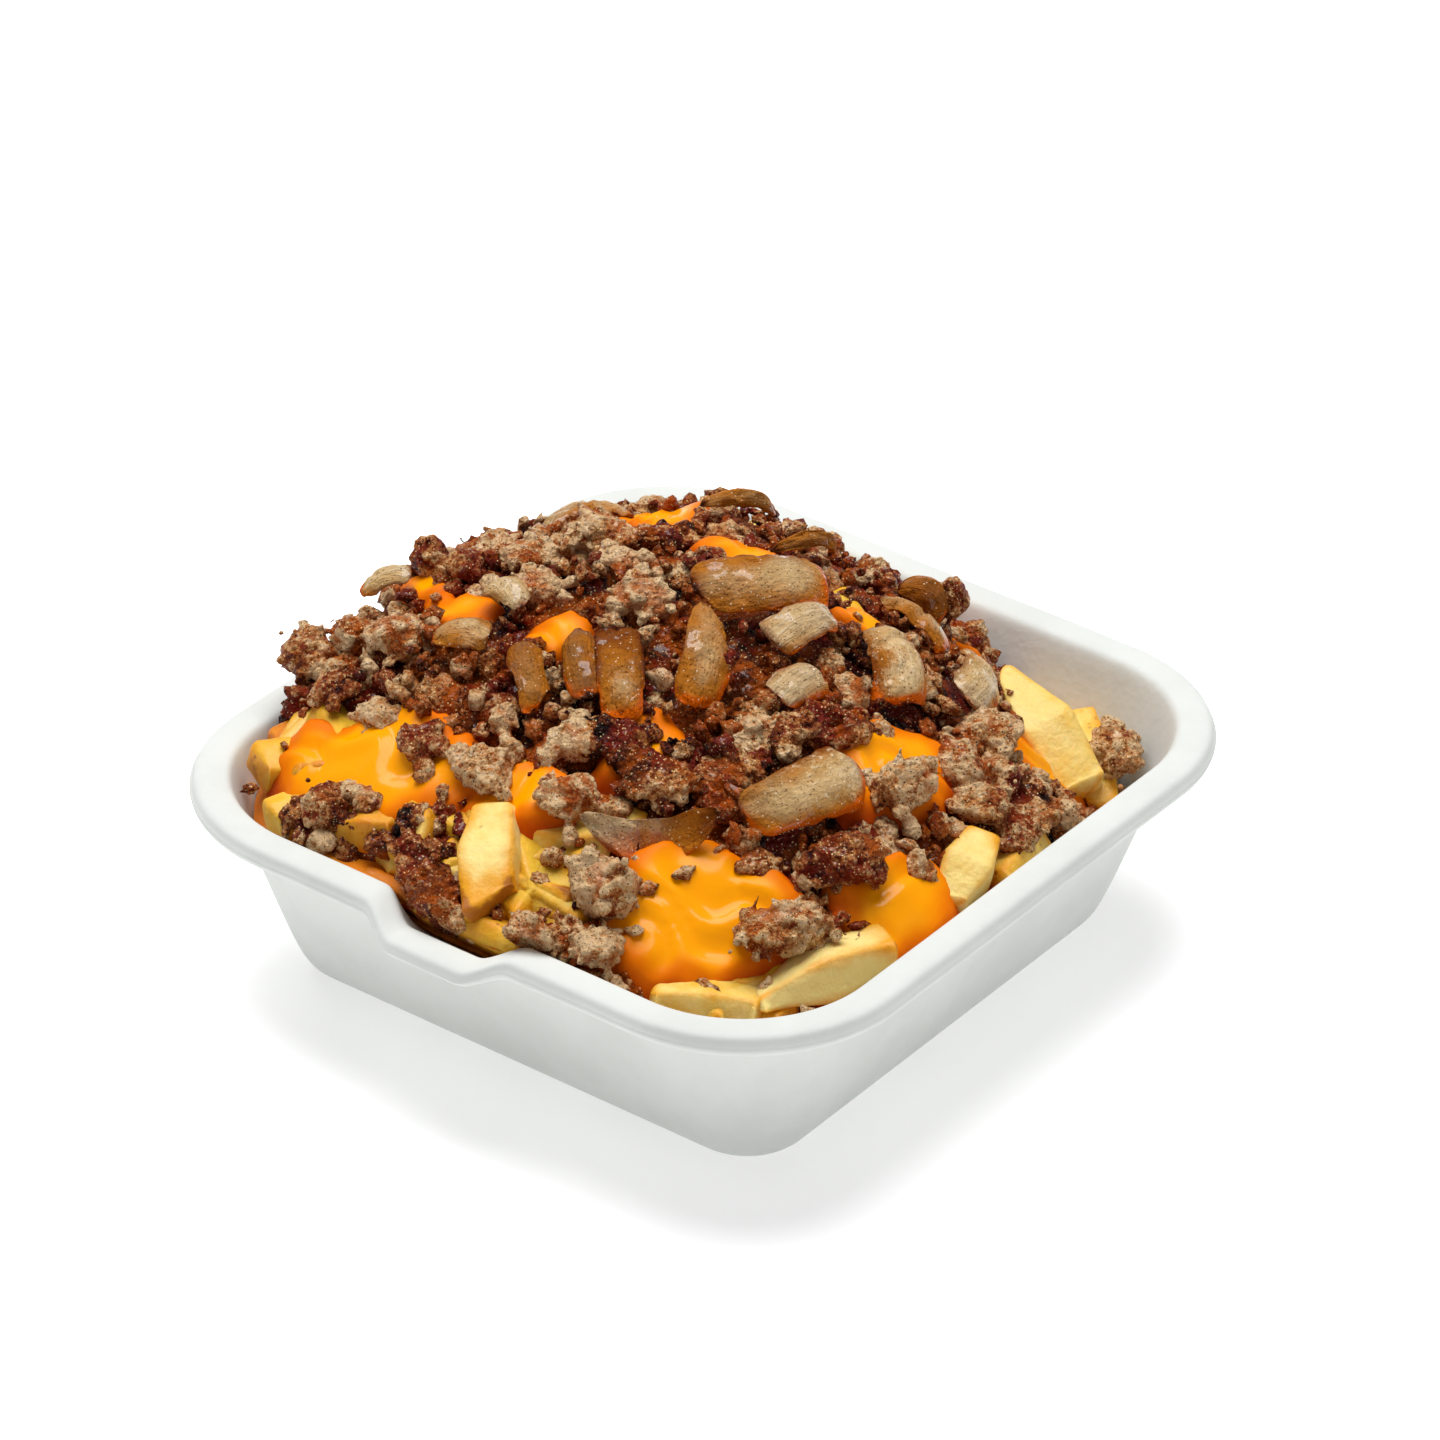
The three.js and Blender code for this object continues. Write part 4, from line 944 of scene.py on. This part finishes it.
# how far each vertex stands out of its surroundings, 0 in a crease and 1 on a crest
def crestOf(points, faces, normal, rounds=7):
    wide = points
    for _ in range(rounds):
        wide = neighbourMean(wide, faces, len(points))
    out = ((points - wide) * normal).sum(1)
    return smooth(-0.32, 0.42, out)


# lightness of the beef at a place: the mean of the tone spots, each weighted by exp(-d^2 / (0.7*reach^2))
def toneAt(x, y):
    weight, total = 0.25, 0.25 * 0.5
    for cx, cy, reach, value in toneSpots:
        w = np.exp(-((x - cx) ** 2 + (y - cy) ** 2) / (0.7 * reach * reach))
        weight, total = weight + w, total + w * value
    return total / weight


# whether a crumb of radius r would lie over an onion slice
def overOnion(x, y, r):
    hit = np.zeros(np.shape(x), bool)
    for ox, oy, length, width, _, turn, *_ in onions:
        a = math.radians(turn)
        u = (x - ox) * math.cos(a) + (y - oy) * math.sin(a)
        v = -(x - ox) * math.sin(a) + (y - oy) * math.cos(a)
        hit |= (np.abs(u) < length / 2 + 0.25 * r - 1.4) & (np.abs(v) < width / 2 + 0.25 * r - 0.6)
    return hit


# small crumbs scattered round the foot of each clump
def withSatellites(centres, halves, turns, tone, rng):
    owner = np.repeat(np.arange(len(centres)), beefLook["satellites"])
    angle, far = rng.uniform(0, 2 * math.pi, len(owner)), rng.uniform(0.75, 1.25, len(owner))
    size = rng.uniform(*beefLook["satelliteSize"], len(owner))
    reach = halves[owner][:, :2].mean(1) * far
    x, y = centres[owner, 0] + reach * np.cos(angle), centres[owner, 1] + reach * np.sin(angle)
    z = np.minimum(heapTop(x, y) - 0.2 * size, centres[owner, 2] + 0.3 * halves[owner, 2])
    extra = keptInside(np.stack([x, y, z], -1), size + 0.6)
    shape = size[:, None] * rng.uniform((0.9, 0.8, 0.7), (1.4, 1.1, 1.0), (len(owner), 3))
    own = np.clip(tone[owner] + rng.normal(size=len(owner)) * 0.25, -0.4, 1)
    return (np.concatenate([centres, extra]), np.concatenate([halves, shape]),
            np.concatenate([turns, randomTurns(len(owner), rng)]), np.concatenate([tone, own]))


# one skin of crumbs: beads fused, roughened along the normal by grain * noise, its tone from its crumb
def crumbPiece(name, centres, halves, turns, tone, rng, nodes=()):
    places, size, owner = beadsOf(centres, halves, turns, rng)
    directions, faces = sphereGrid(1)
    stretch = rng.uniform((0.8, 0.75, 0.7), (1.45, 1.1, 1.0), (len(places), 3))
    core = np.clip(halves - 0.75, 0.6, None) * 0.95
    places = np.concatenate([places, centres + [0, 0, 0.2]])
    allSize = np.concatenate([size, np.ones(len(centres))])
    allStretch = np.concatenate([stretch, core])
    allTurns = np.concatenate([randomTurns(len(size), rng), turns])
    points, skin = fused(places, allSize, allStretch, allTurns, directions, faces)
    for _ in range(beefLook["melt"]):
        points = 0.4 * points + 0.6 * neighbourMean(points, skin, len(points))
    normal = vertexNormals(points, skin)
    crest = crestOf(points, skin, normal)
    rough = layered(points, 71, 2, 0.7) - 1.1 * np.abs(noise(points / 2.0, 77)) + 0.3
    points = keptInside(points + normal * (beefLook["grain"] * rough)[:, None], 0.4)
    # the tone of the nearest crumb, looked up on a coarse grid of the crumbs' own places
    cellSize, cells, half = 2.0, 80, 80
    middles = (np.arange(cells) + 0.5) * cellSize - half
    gx, gy = np.meshgrid(middles, middles, indexing="ij")
    distance = (gx[..., None] - centres[:, 0]) ** 2 + (gy[..., None] - centres[:, 1]) ** 2
    grid = distance.argmin(-1)
    jitter = points[:, :2] + 1.6 * np.stack([noise(points / 2.0, 3), noise(points / 2.0, 4)], -1)
    cell = np.clip(((jitter + half) / cellSize).astype(int), 0, cells - 1)
    own = tone[grid[cell[:, 0], cell[:, 1]]]
    # crest and deep carry painted light on the crests and painted shade in the creases and below the heap's
    # surface
    addPiece(name, points, skin, beef, nodes,
             {"tone": own, "crest": crest, "deep": depthOf(points, 0, 6)})


# places down the steep side of the heap: every spacing along a ring inside the wall, at levels from the rim
# up to just under the heap's top
def flankPlaces(rng):
    ring = ringSurface([-3.9], [tray["height"] - 1], tray["cornerSteps"], tray["sideSteps"])[0, :, :2]
    ring = np.concatenate([ring, ring[:1]])
    run = np.concatenate([[0], np.cumsum(np.hypot(*np.diff(ring, axis=0).T))])
    level, at = np.meshgrid(np.arange(6), np.arange(0, run[-1], beefLook["flankSpacing"]), indexing="ij")
    at = at + (level % 2) * beefLook["flankSpacing"] / 2 + rng.uniform(-1.2, 1.2, at.shape)
    at = at.ravel() % run[-1]
    x, y = np.interp(at, run, ring[:, 0]), np.interp(at, run, ring[:, 1])
    z = tray["height"] - 3.4 + beefLook["flankRise"] * level.ravel() + rng.uniform(-0.8, 0.8, at.size)
    top = heapTop(x, y)
    keep = (z < top - 2.2) & (top > beefLook["flankTop"]) & (y > beefLook["flankFront"])
    return keptInside(np.stack([x, y, z], -1)[keep], 3.2)


# the lumps and crags of the tables, each with small crumbs round it, then crumbs on a staggered grid with
# seeded scatter wherever beef covers the heap, sorted by tone into three pieces
def makeBeef():
    rng = np.random.default_rng(5)
    lumpNodes = ["beef_lump_%02d" % (i + 1) for i in range(len(lumps))]
    for name, table, nodes in (("beefLumps", lumps, lumpNodes), ("beefCrags", crags, ())):
        centres, halves = (np.array([row[k] for row in table], float) for k in (0, 1))
        turns, tone = zTurns([row[2] for row in table]), np.array([row[3] for row in table])
        crumbPiece(name, *withSatellites(centres, halves, turns, tone, rng), rng, nodes)
    step, scatter = beefLook["spacing"], beefLook["scatter"]
    column, row = np.meshgrid(np.arange(-12, 13), np.arange(-14, 15), indexing="ij")
    x = ((column + 0.5 * (row % 2)) * step).ravel() + rng.uniform(-scatter, scatter, column.size)
    y = (row * step * 0.87).ravel() + rng.uniform(-scatter, scatter, column.size)
    r = beefLook["least"] + (beefLook["most"] - beefLook["least"]) * rng.uniform(0, 1, x.size) ** 1.4
    open = np.maximum(most(saucePools, x, y), most(fryZones, x, y))
    keep = (fromWall(x, y) > 0.6 * r + 1.2) & (open < 0.3) & ~overOnion(x, y, r)
    for centre, half, *_ in lumps + crags:
        keep &= np.hypot(x - centre[0], y - centre[1]) > 0.75 * max(half[:2])
    x, y, r = x[keep], y[keep], r[keep]
    z = heapTop(x, y) - 0.5 * r + rng.normal(size=x.size) * 1.0
    z -= 1.6 + 1.8 * smooth(15, 45, x + y) * smooth(0, 30, y) + 3.4 * smooth(61, 67, heapTop(x, y))
    tone = np.clip(toneAt(x, y) + rng.normal(size=x.size) * beefLook["toneScatter"], 0, 1)
    flank = flankPlaces(rng)
    x, y, z = (np.concatenate([a, b]) for a, b in zip((x, y, z), flank.T))
    r = np.concatenate([r, rng.uniform(*beefLook["flankSize"], len(flank))])
    tone = np.concatenate([tone, rng.uniform(0, 0.85, len(flank))])
    halves = rng.uniform((0.85, 0.75, 0.65), (1.35, 1.15, 1.0), (x.size, 3)) * r[:, None]
    centres, turns = keptInside(np.stack([x, y, z], -1), r + 0.5), randomTurns(x.size, rng)
    dark, pale = beefLook["toneSteps"]
    kinds = {"beefPale": tone > pale, "beefBrown": (tone > dark) & (tone <= pale), "beefDark": tone <= dark}
    for name, kind in kinds.items():
        crumbPiece(name, centres[kind], halves[kind], turns[kind], tone[kind], rng,
                   ["ground_beef"] if name == "beefPale" else ())


# small bits in the gaps and over the sauce: spheres of 80 faces, radius*(1 + 0.75*noise), stretched, turned
def makeBits():
    rng = np.random.default_rng(15)
    directions, faces = sphereGrid(1)
    least, biggest = beefLook["bitSize"]
    x, y = (rng.uniform(-half, half, beefLook["bitDraws"]) for half in (62, 66))
    r = least + (biggest - least) * rng.uniform(0, 1, x.size) ** 1.6
    open = np.maximum(most(saucePools, x, y), most(fryZones, x, y))
    chance = np.where(open < 0.5, 0.55, 0.035)
    keep = (fromWall(x, y) > r + 1.5) & (rng.uniform(0, 1, x.size) < chance) & ~overOnion(x, y, -2)
    x, y, r, open = (v[keep][: beefLook["bits"]] for v in (x, y, r, open))
    z = heapTop(x, y) + np.where(open < 0.5, rng.uniform(-3.6, 0.3, x.size), -0.6)
    centres = keptInside(np.stack([x, y, z], -1), r + 0.5)
    radius = 1 + 0.75 * noise(directions * 2.2 + centres[:, None] * 5.3, 12)
    stretch = rng.uniform((0.8, 0.7, 0.6), (1.6, 1.1, 0.9), (len(x), 3)) * r[:, None]
    points = rotated(directions * radius[..., None] * stretch[:, None], randomTurns(len(x), rng))
    points = points + centres[:, None]
    tone = np.clip(toneAt(x, y) + rng.normal(size=x.size) * 0.25 + 0.3 * (open > 0.5) - 0.15, 0, 1)
    allFaces = (faces[None] + (np.arange(len(x)) * len(directions))[:, None, None]).reshape(-1, 3)
    # crest lightens the bulges as painted light; deep, below, darkens the sunk bits as painted shade
    crest = np.clip(0.8 * (radius - 0.6), 0, 1)
    addPiece("beefBits", points, allFaces, beef, (),
             {"tone": np.repeat(tone, len(directions)), "crest": crest, "deep": depthOf(points, 0, 6)})


# the imported crumbs below those that show: a sheet at heapTop - bed + 1.5*relief, sunk where other food
# shows, with a dark tone for char and painted shade in the gaps between crumbs
def makeBeefBed():
    x, y = roundedGrid(*beefLook["bedHalves"], beefLook["bedStep"])
    flat = np.stack([x, y, 0 * x], -1)
    open = np.maximum(most(saucePools, x, y), most(fryZones, x, y))
    relief = layered(flat / 3.4, 51, 4, 0.6)
    top = heapTop(x, y) - beefLook["bed"] - beefLook["bedSunk"] * open + 1.5 * relief
    points, faces = slab(x, y, top, top - 3)
    points = keptInside(points)
    crest = np.concatenate([smooth(-0.8, 1.0, relief), 0 * relief])
    # the low tone darkens the sheet: char and painted shade in the gaps between crumbs
    attributes = {"tone": np.full(len(points), 0.1), "crest": crest, "deep": depthOf(points, 0, 6)}
    addPiece("beefBed", points, faces, beef, ["ground_beef"], attributes)


beef = beefMaterial()
makeBeef()
makeBits()
makeBeefBed()
print("beef is made")


# onions
# share of the width kept at either end, squareness of the ends, cup across as a share of the width,
# paleness, how it changes from end to end, and how far the middle lies to one side
onionForms = [
    (1.0, 0.9, 12, 0.1, 0.12, 0.45, 0.4), (0.45, 1.0, 4, 0.22, 0.3, 0.1, 0.8),
    (0.85, 1.0, 5, 0.12, 0.35, 0.15, -1.2), (0.95, 0.8, 8, 0.1, 0.9, 0, 0.3),
    (0.8, 1.0, 7, 0.24, 0.6, 0.1, 1.0), (0.8, 0.9, 4, 0.16, 0.8, -0.1, -1.0),
    (0.8, 1.0, 6, 0.14, 0.95, 0, 0.4), (0.6, 0.8, 3, -0.2, 0.75, -1.1, -4.6),
    (0.8, 1.0, 5, 0.14, 0.6, 0.35, -0.8), (0.7, 0.95, 5, 0.18, 0.5, 0, 0.6),
    (0.9, 0.55, 7, 0.2, 0.15, 0.1, 0.8), (0.7, 0.9, 6, 0.18, 0.1, 0, -0.6),
    (0.6, 0.6, 4, 0.2, 0.1, 0, 1.6), (0.7, 0.8, 5, 0.25, 0.0, 0, 1.2), (0.6, 0.7, 4, 0.2, 0.2, 0, 1.2),
    (0.9, 0.6, 5, 0.18, 0.75, 0, 1.0), (0.8, 0.7, 5, 0.18, 0.8, 0, 0.6),
    (0.8, 0.8, 6, 0.14, 0.4, 0.1, 1.2), (0.8, 0.7, 6, 0.14, 0.35, 0, -1.0),
    (0.7, 0.8, 6, 0.14, 0.35, 0, 0.8),
]
onionLook = {
    "rows": 44, "columns": 28, "wider": 1.06, "longer": 1.02, "thinner": 0.72, "droop": 0.0035,
    "cupping": 1.35, "rippling": 0.6,
    "pale": (0.62, 0.39, 0.150), "grey": (0.20, 0.075, 0.020), "amber": (0.46, 0.150, 0.008),
    "brown": (0.15, 0.028, 0.003), "rim": (0.60, 0.10, 0.0), "dark": (0.04, 0.008, 0.003),
    # the three colours on the next line are painted glints, highlights and sheen, not the onion's own colour
    "glint": (0.95, 0.80, 0.56), "paintedHighlight": (0.76, 0.56, 0.31), "paintedSheen": (0.54, 0.37, 0.20),
}


def onionMaterial():
    s = Shader("friedOnion")
    across, along, edge, tone, low = (s.attribute(k) for k in ("across", "along", "edge", "tone", "low"))
    strands = s.make("ShaderNodeCombineXYZ", {}, {0: across * 5.0, 1: along * 0.6, 2: tone * 9.0})
    veins = s.noise(1.6, 4.0, 0.6, 0.3, strands)
    blotch, fine = s.noise(110.0, 4.0, 0.6), s.noise(900.0, 3.0, 0.6)
    # greyer towards the sides: browned edges and painted shade on the slice's rounded sides
    body = (tone * 0.9 + blotch * 0.9 - across * across * 0.5 - 0.35).between(-0.1, 0.85)
    colour = s.mix(body, onionLook["grey"], onionLook["pale"])
    # amber caramel, more towards the sides and on the lower parts, where it also paints the glow of light
    # shining through the slice
    amber = (s.noise(85.0, 3.0) * 1.4 + across * across * 0.4 + low * 0.5 - tone * 0.35).between(0.36, 0.85)
    colour = s.mix(amber * 0.9, colour, onionLook["amber"])
    colour = s.mix((1 - veins).between(0.54, 0.7) * 0.15, colour, onionLook["brown"])
    colour = s.mix((blotch * 1.2 - tone * 1.1 - 0.1).between(0.2, 0.75) * 0.75, colour, onionLook["brown"])
    # painted sheen along the crown of the slice, on the pale slices
    crown = (blotch * 1.1 + veins * 0.6 - across * across * 1.3 - low * 0.5 - 0.38).between(0.1, 0.55)
    colour = s.mix(crown * (tone * 0.8 - 0.08).clamped(), colour, onionLook["paintedHighlight"])
    # brown along the upper edges: browned edges and painted shade on the slice's rounded sides
    colour = s.mix(edge.between(0.1, 0.75) * (1 - low * 0.8) * 0.85, colour, onionLook["brown"])
    # painted highlight patches on the upper parts
    shine = s.noise(120.0, 5.0, 0.7).between(0.52, 0.62) * (tone - low * 0.3).between(0.25, 0.85)
    colour = s.mix(shine * 0.6, colour, onionLook["paintedHighlight"])
    # painted highlight streaks along the strands
    highlightStreaks = veins.between(0.55, 0.66) * (tone - low * 0.5).between(0.4, 0.9)
    colour = s.mix(highlightStreaks * 0.7, colour, onionLook["glint"])
    # painted sheen on the upper middle of the pale slices
    paintedSheenShare = (tone * 1.1 + blotch * 0.9 - low * 0.4 - across * across * 0.3 - 0.82).between(0.2, 0.75)
    colour = s.mix(paintedSheenShare * 0.75, colour, onionLook["paintedSheen"])
    # orange edges, stronger on the low side: browned edges and a painted glow of light shining through the
    # slice
    orange = (edge * (low * 0.8 + 0.5) + low * 0.35 + blotch * 0.8 - 0.4).between(0.25, 0.75)
    colour = s.mix(orange, colour, onionLook["rim"])
    burnt = (edge * 0.9 + fine * 0.5 + blotch * 0.5 - tone * 0.3).between(0.98, 1.25)
    colour = s.mix(burnt * 0.9, colour, onionLook["dark"])
    colour = s.mix(s.dots(1600.0, 0.34, 0.55) * 0.75, colour, onionLook["brown"])
    # painted glints: tiny bright dots
    colour = s.mix(s.dots(1800.0, 0.32, 0.16) * 0.65, colour, onionLook["glint"])
    height = veins * 0.7 + blotch * 1.3 + fine * 0.6
    return s.finish({"Base Color": colour, "Roughness": blotch * 0.5 + 0.1, "Specular IOR Level": 0.08,
                     "IOR": 1.36, "Coat Weight": blotch.between(0.52, 0.58) * 0.7,
                     "Coat Roughness": 0.04, "Normal": s.bump(height, 1.0, 0.0011)})


# slices: half width w(t) = half*mix(start, end)*(1 - |t|^p)^0.5, thinner to the sides, carried along t,
# bowed by bow*(1/2 - t^2), cupped by cup*width*(0.6 - v^2), rippled, set in the frame of the heap's surface
def makeOnions():
    rng = np.random.default_rng(9)
    rows, columns = onionLook["rows"], onionLook["columns"]
    t = np.sin(np.linspace(-1, 1, rows) * math.pi / 2)[None, :, None]
    angle = (2 * math.pi * np.arange(columns) / columns)[None, None]
    x, y, length, width, thick, turn, lean, roll, bow, lift = np.array(onions, float).T
    length, width = length * onionLook["longer"], width * onionLook["wider"]
    thick = thick * onionLook["thinner"]
    bow = np.where(bow > 0, bow + onionLook["droop"] * length ** 2, bow)
    n, full = len(x), lambda v: v[:, None, None]
    startWidth, endWidth, power, cup, pale, change, arc = (full(v) for v in np.array(onionForms, float).T)
    shape = (n, rows, columns)
    place = [t * full(length) / 7, np.cos(angle) * 1.2, full(np.arange(n) * 7.3)]
    place = np.stack([np.broadcast_to(v, shape) for v in place], -1)
    wander, ripple = layered(place, 61, 2), layered(place * 1.7 + 30, 63, 2)
    taper = (1 - np.abs(t) ** power) ** 0.5 * (startWidth + (endWidth - startWidth) * (t + 1) / 2)
    v = np.sign(np.cos(angle)) * np.abs(np.cos(angle)) ** 0.7
    w = np.sign(np.sin(angle)) * np.abs(np.sin(angle)) ** 0.6
    across = v * taper * (1 + 0.14 * wander)
    px = t * full(length) / 2 * (1 + 0.05 * wander)
    py = across * full(width) / 2 + arc * (0.5 - t * t)
    pz = w * full(thick) / 2 * (0.3 + 0.7 * taper) * (1 - 0.35 * v * v) + full(bow) * (0.5 - t * t)
    pz = pz + onionLook["cupping"] * full(width) * cup * (0.6 - across ** 2)
    pz = pz + onionLook["rippling"] * ripple - 0.5 * np.abs(ripple) ** 0.5
    pz = pz + 0.1 * np.sin(v * 13 + full(rng.uniform(0, 6, n))) * (w > 0)
    local = np.stack([px + 0 * pz, py + 0 * pz, pz], -1).reshape(n, -1, 3)
    e = 2.0
    fallX, fallY = heapTop(x - e, y) - heapTop(x + e, y), heapTop(x, y - e) - heapTop(x, y + e)
    normal = np.stack([fallX / (2 * e), fallY / (2 * e), np.ones(n)], -1)
    normal /= np.linalg.norm(normal, axis=1, keepdims=True)
    ahead = np.stack([np.cos(np.radians(turn)), np.sin(np.radians(turn)), np.zeros(n)], -1)
    ahead -= normal * (ahead * normal).sum(1, keepdims=True)
    ahead /= np.linalg.norm(ahead, axis=1, keepdims=True)
    side = np.cross(normal, ahead)
    basis = np.stack([ahead, side, normal], -1)
    cr, sr, cl, sl = (f(np.radians(v)) for v in (roll, lean) for f in (np.cos, np.sin))
    zero, one = np.zeros(n), np.ones(n)
    rollTurn = np.stack([one, zero, zero, zero, cr, -sr, zero, sr, cr], -1).reshape(n, 3, 3)
    leanTurn = np.stack([cl, zero, sl, zero, one, zero, -sl, zero, cl], -1).reshape(n, 3, 3)
    centre = np.stack([x, y, heapTop(x, y)], -1) + normal * (lift + 0.6)[:, None]
    points = rotated(local, basis @ rollTurn @ leanTurn) + centre[:, None]
    # low: how far below the slice's middle a point lies; the material paints glow there and keeps its painted
    # highlights off it
    low = smooth(0.6, -3.4, (points[..., 2] - centre[:, None, 2]).reshape(shape))
    flat, faces = tubes(points.reshape(n, rows, columns, 3))
    edge = np.maximum(np.abs(across) ** 3.4, np.broadcast_to(np.abs(t) ** 9, shape))
    values = {"across": across, "along": t * full(length) / 8, "edge": edge, "tone": pale + change * t,
              "low": low}
    values = {k: withEnds(np.array(np.broadcast_to(a, shape)), rows, columns) for k, a in values.items()}
    addPiece("friedOnions", flat, faces, onionMaterial(),
             ["onion_%02d" % (i + 1) for i in range(n)], values)


makeOnions()
print("onions are made")
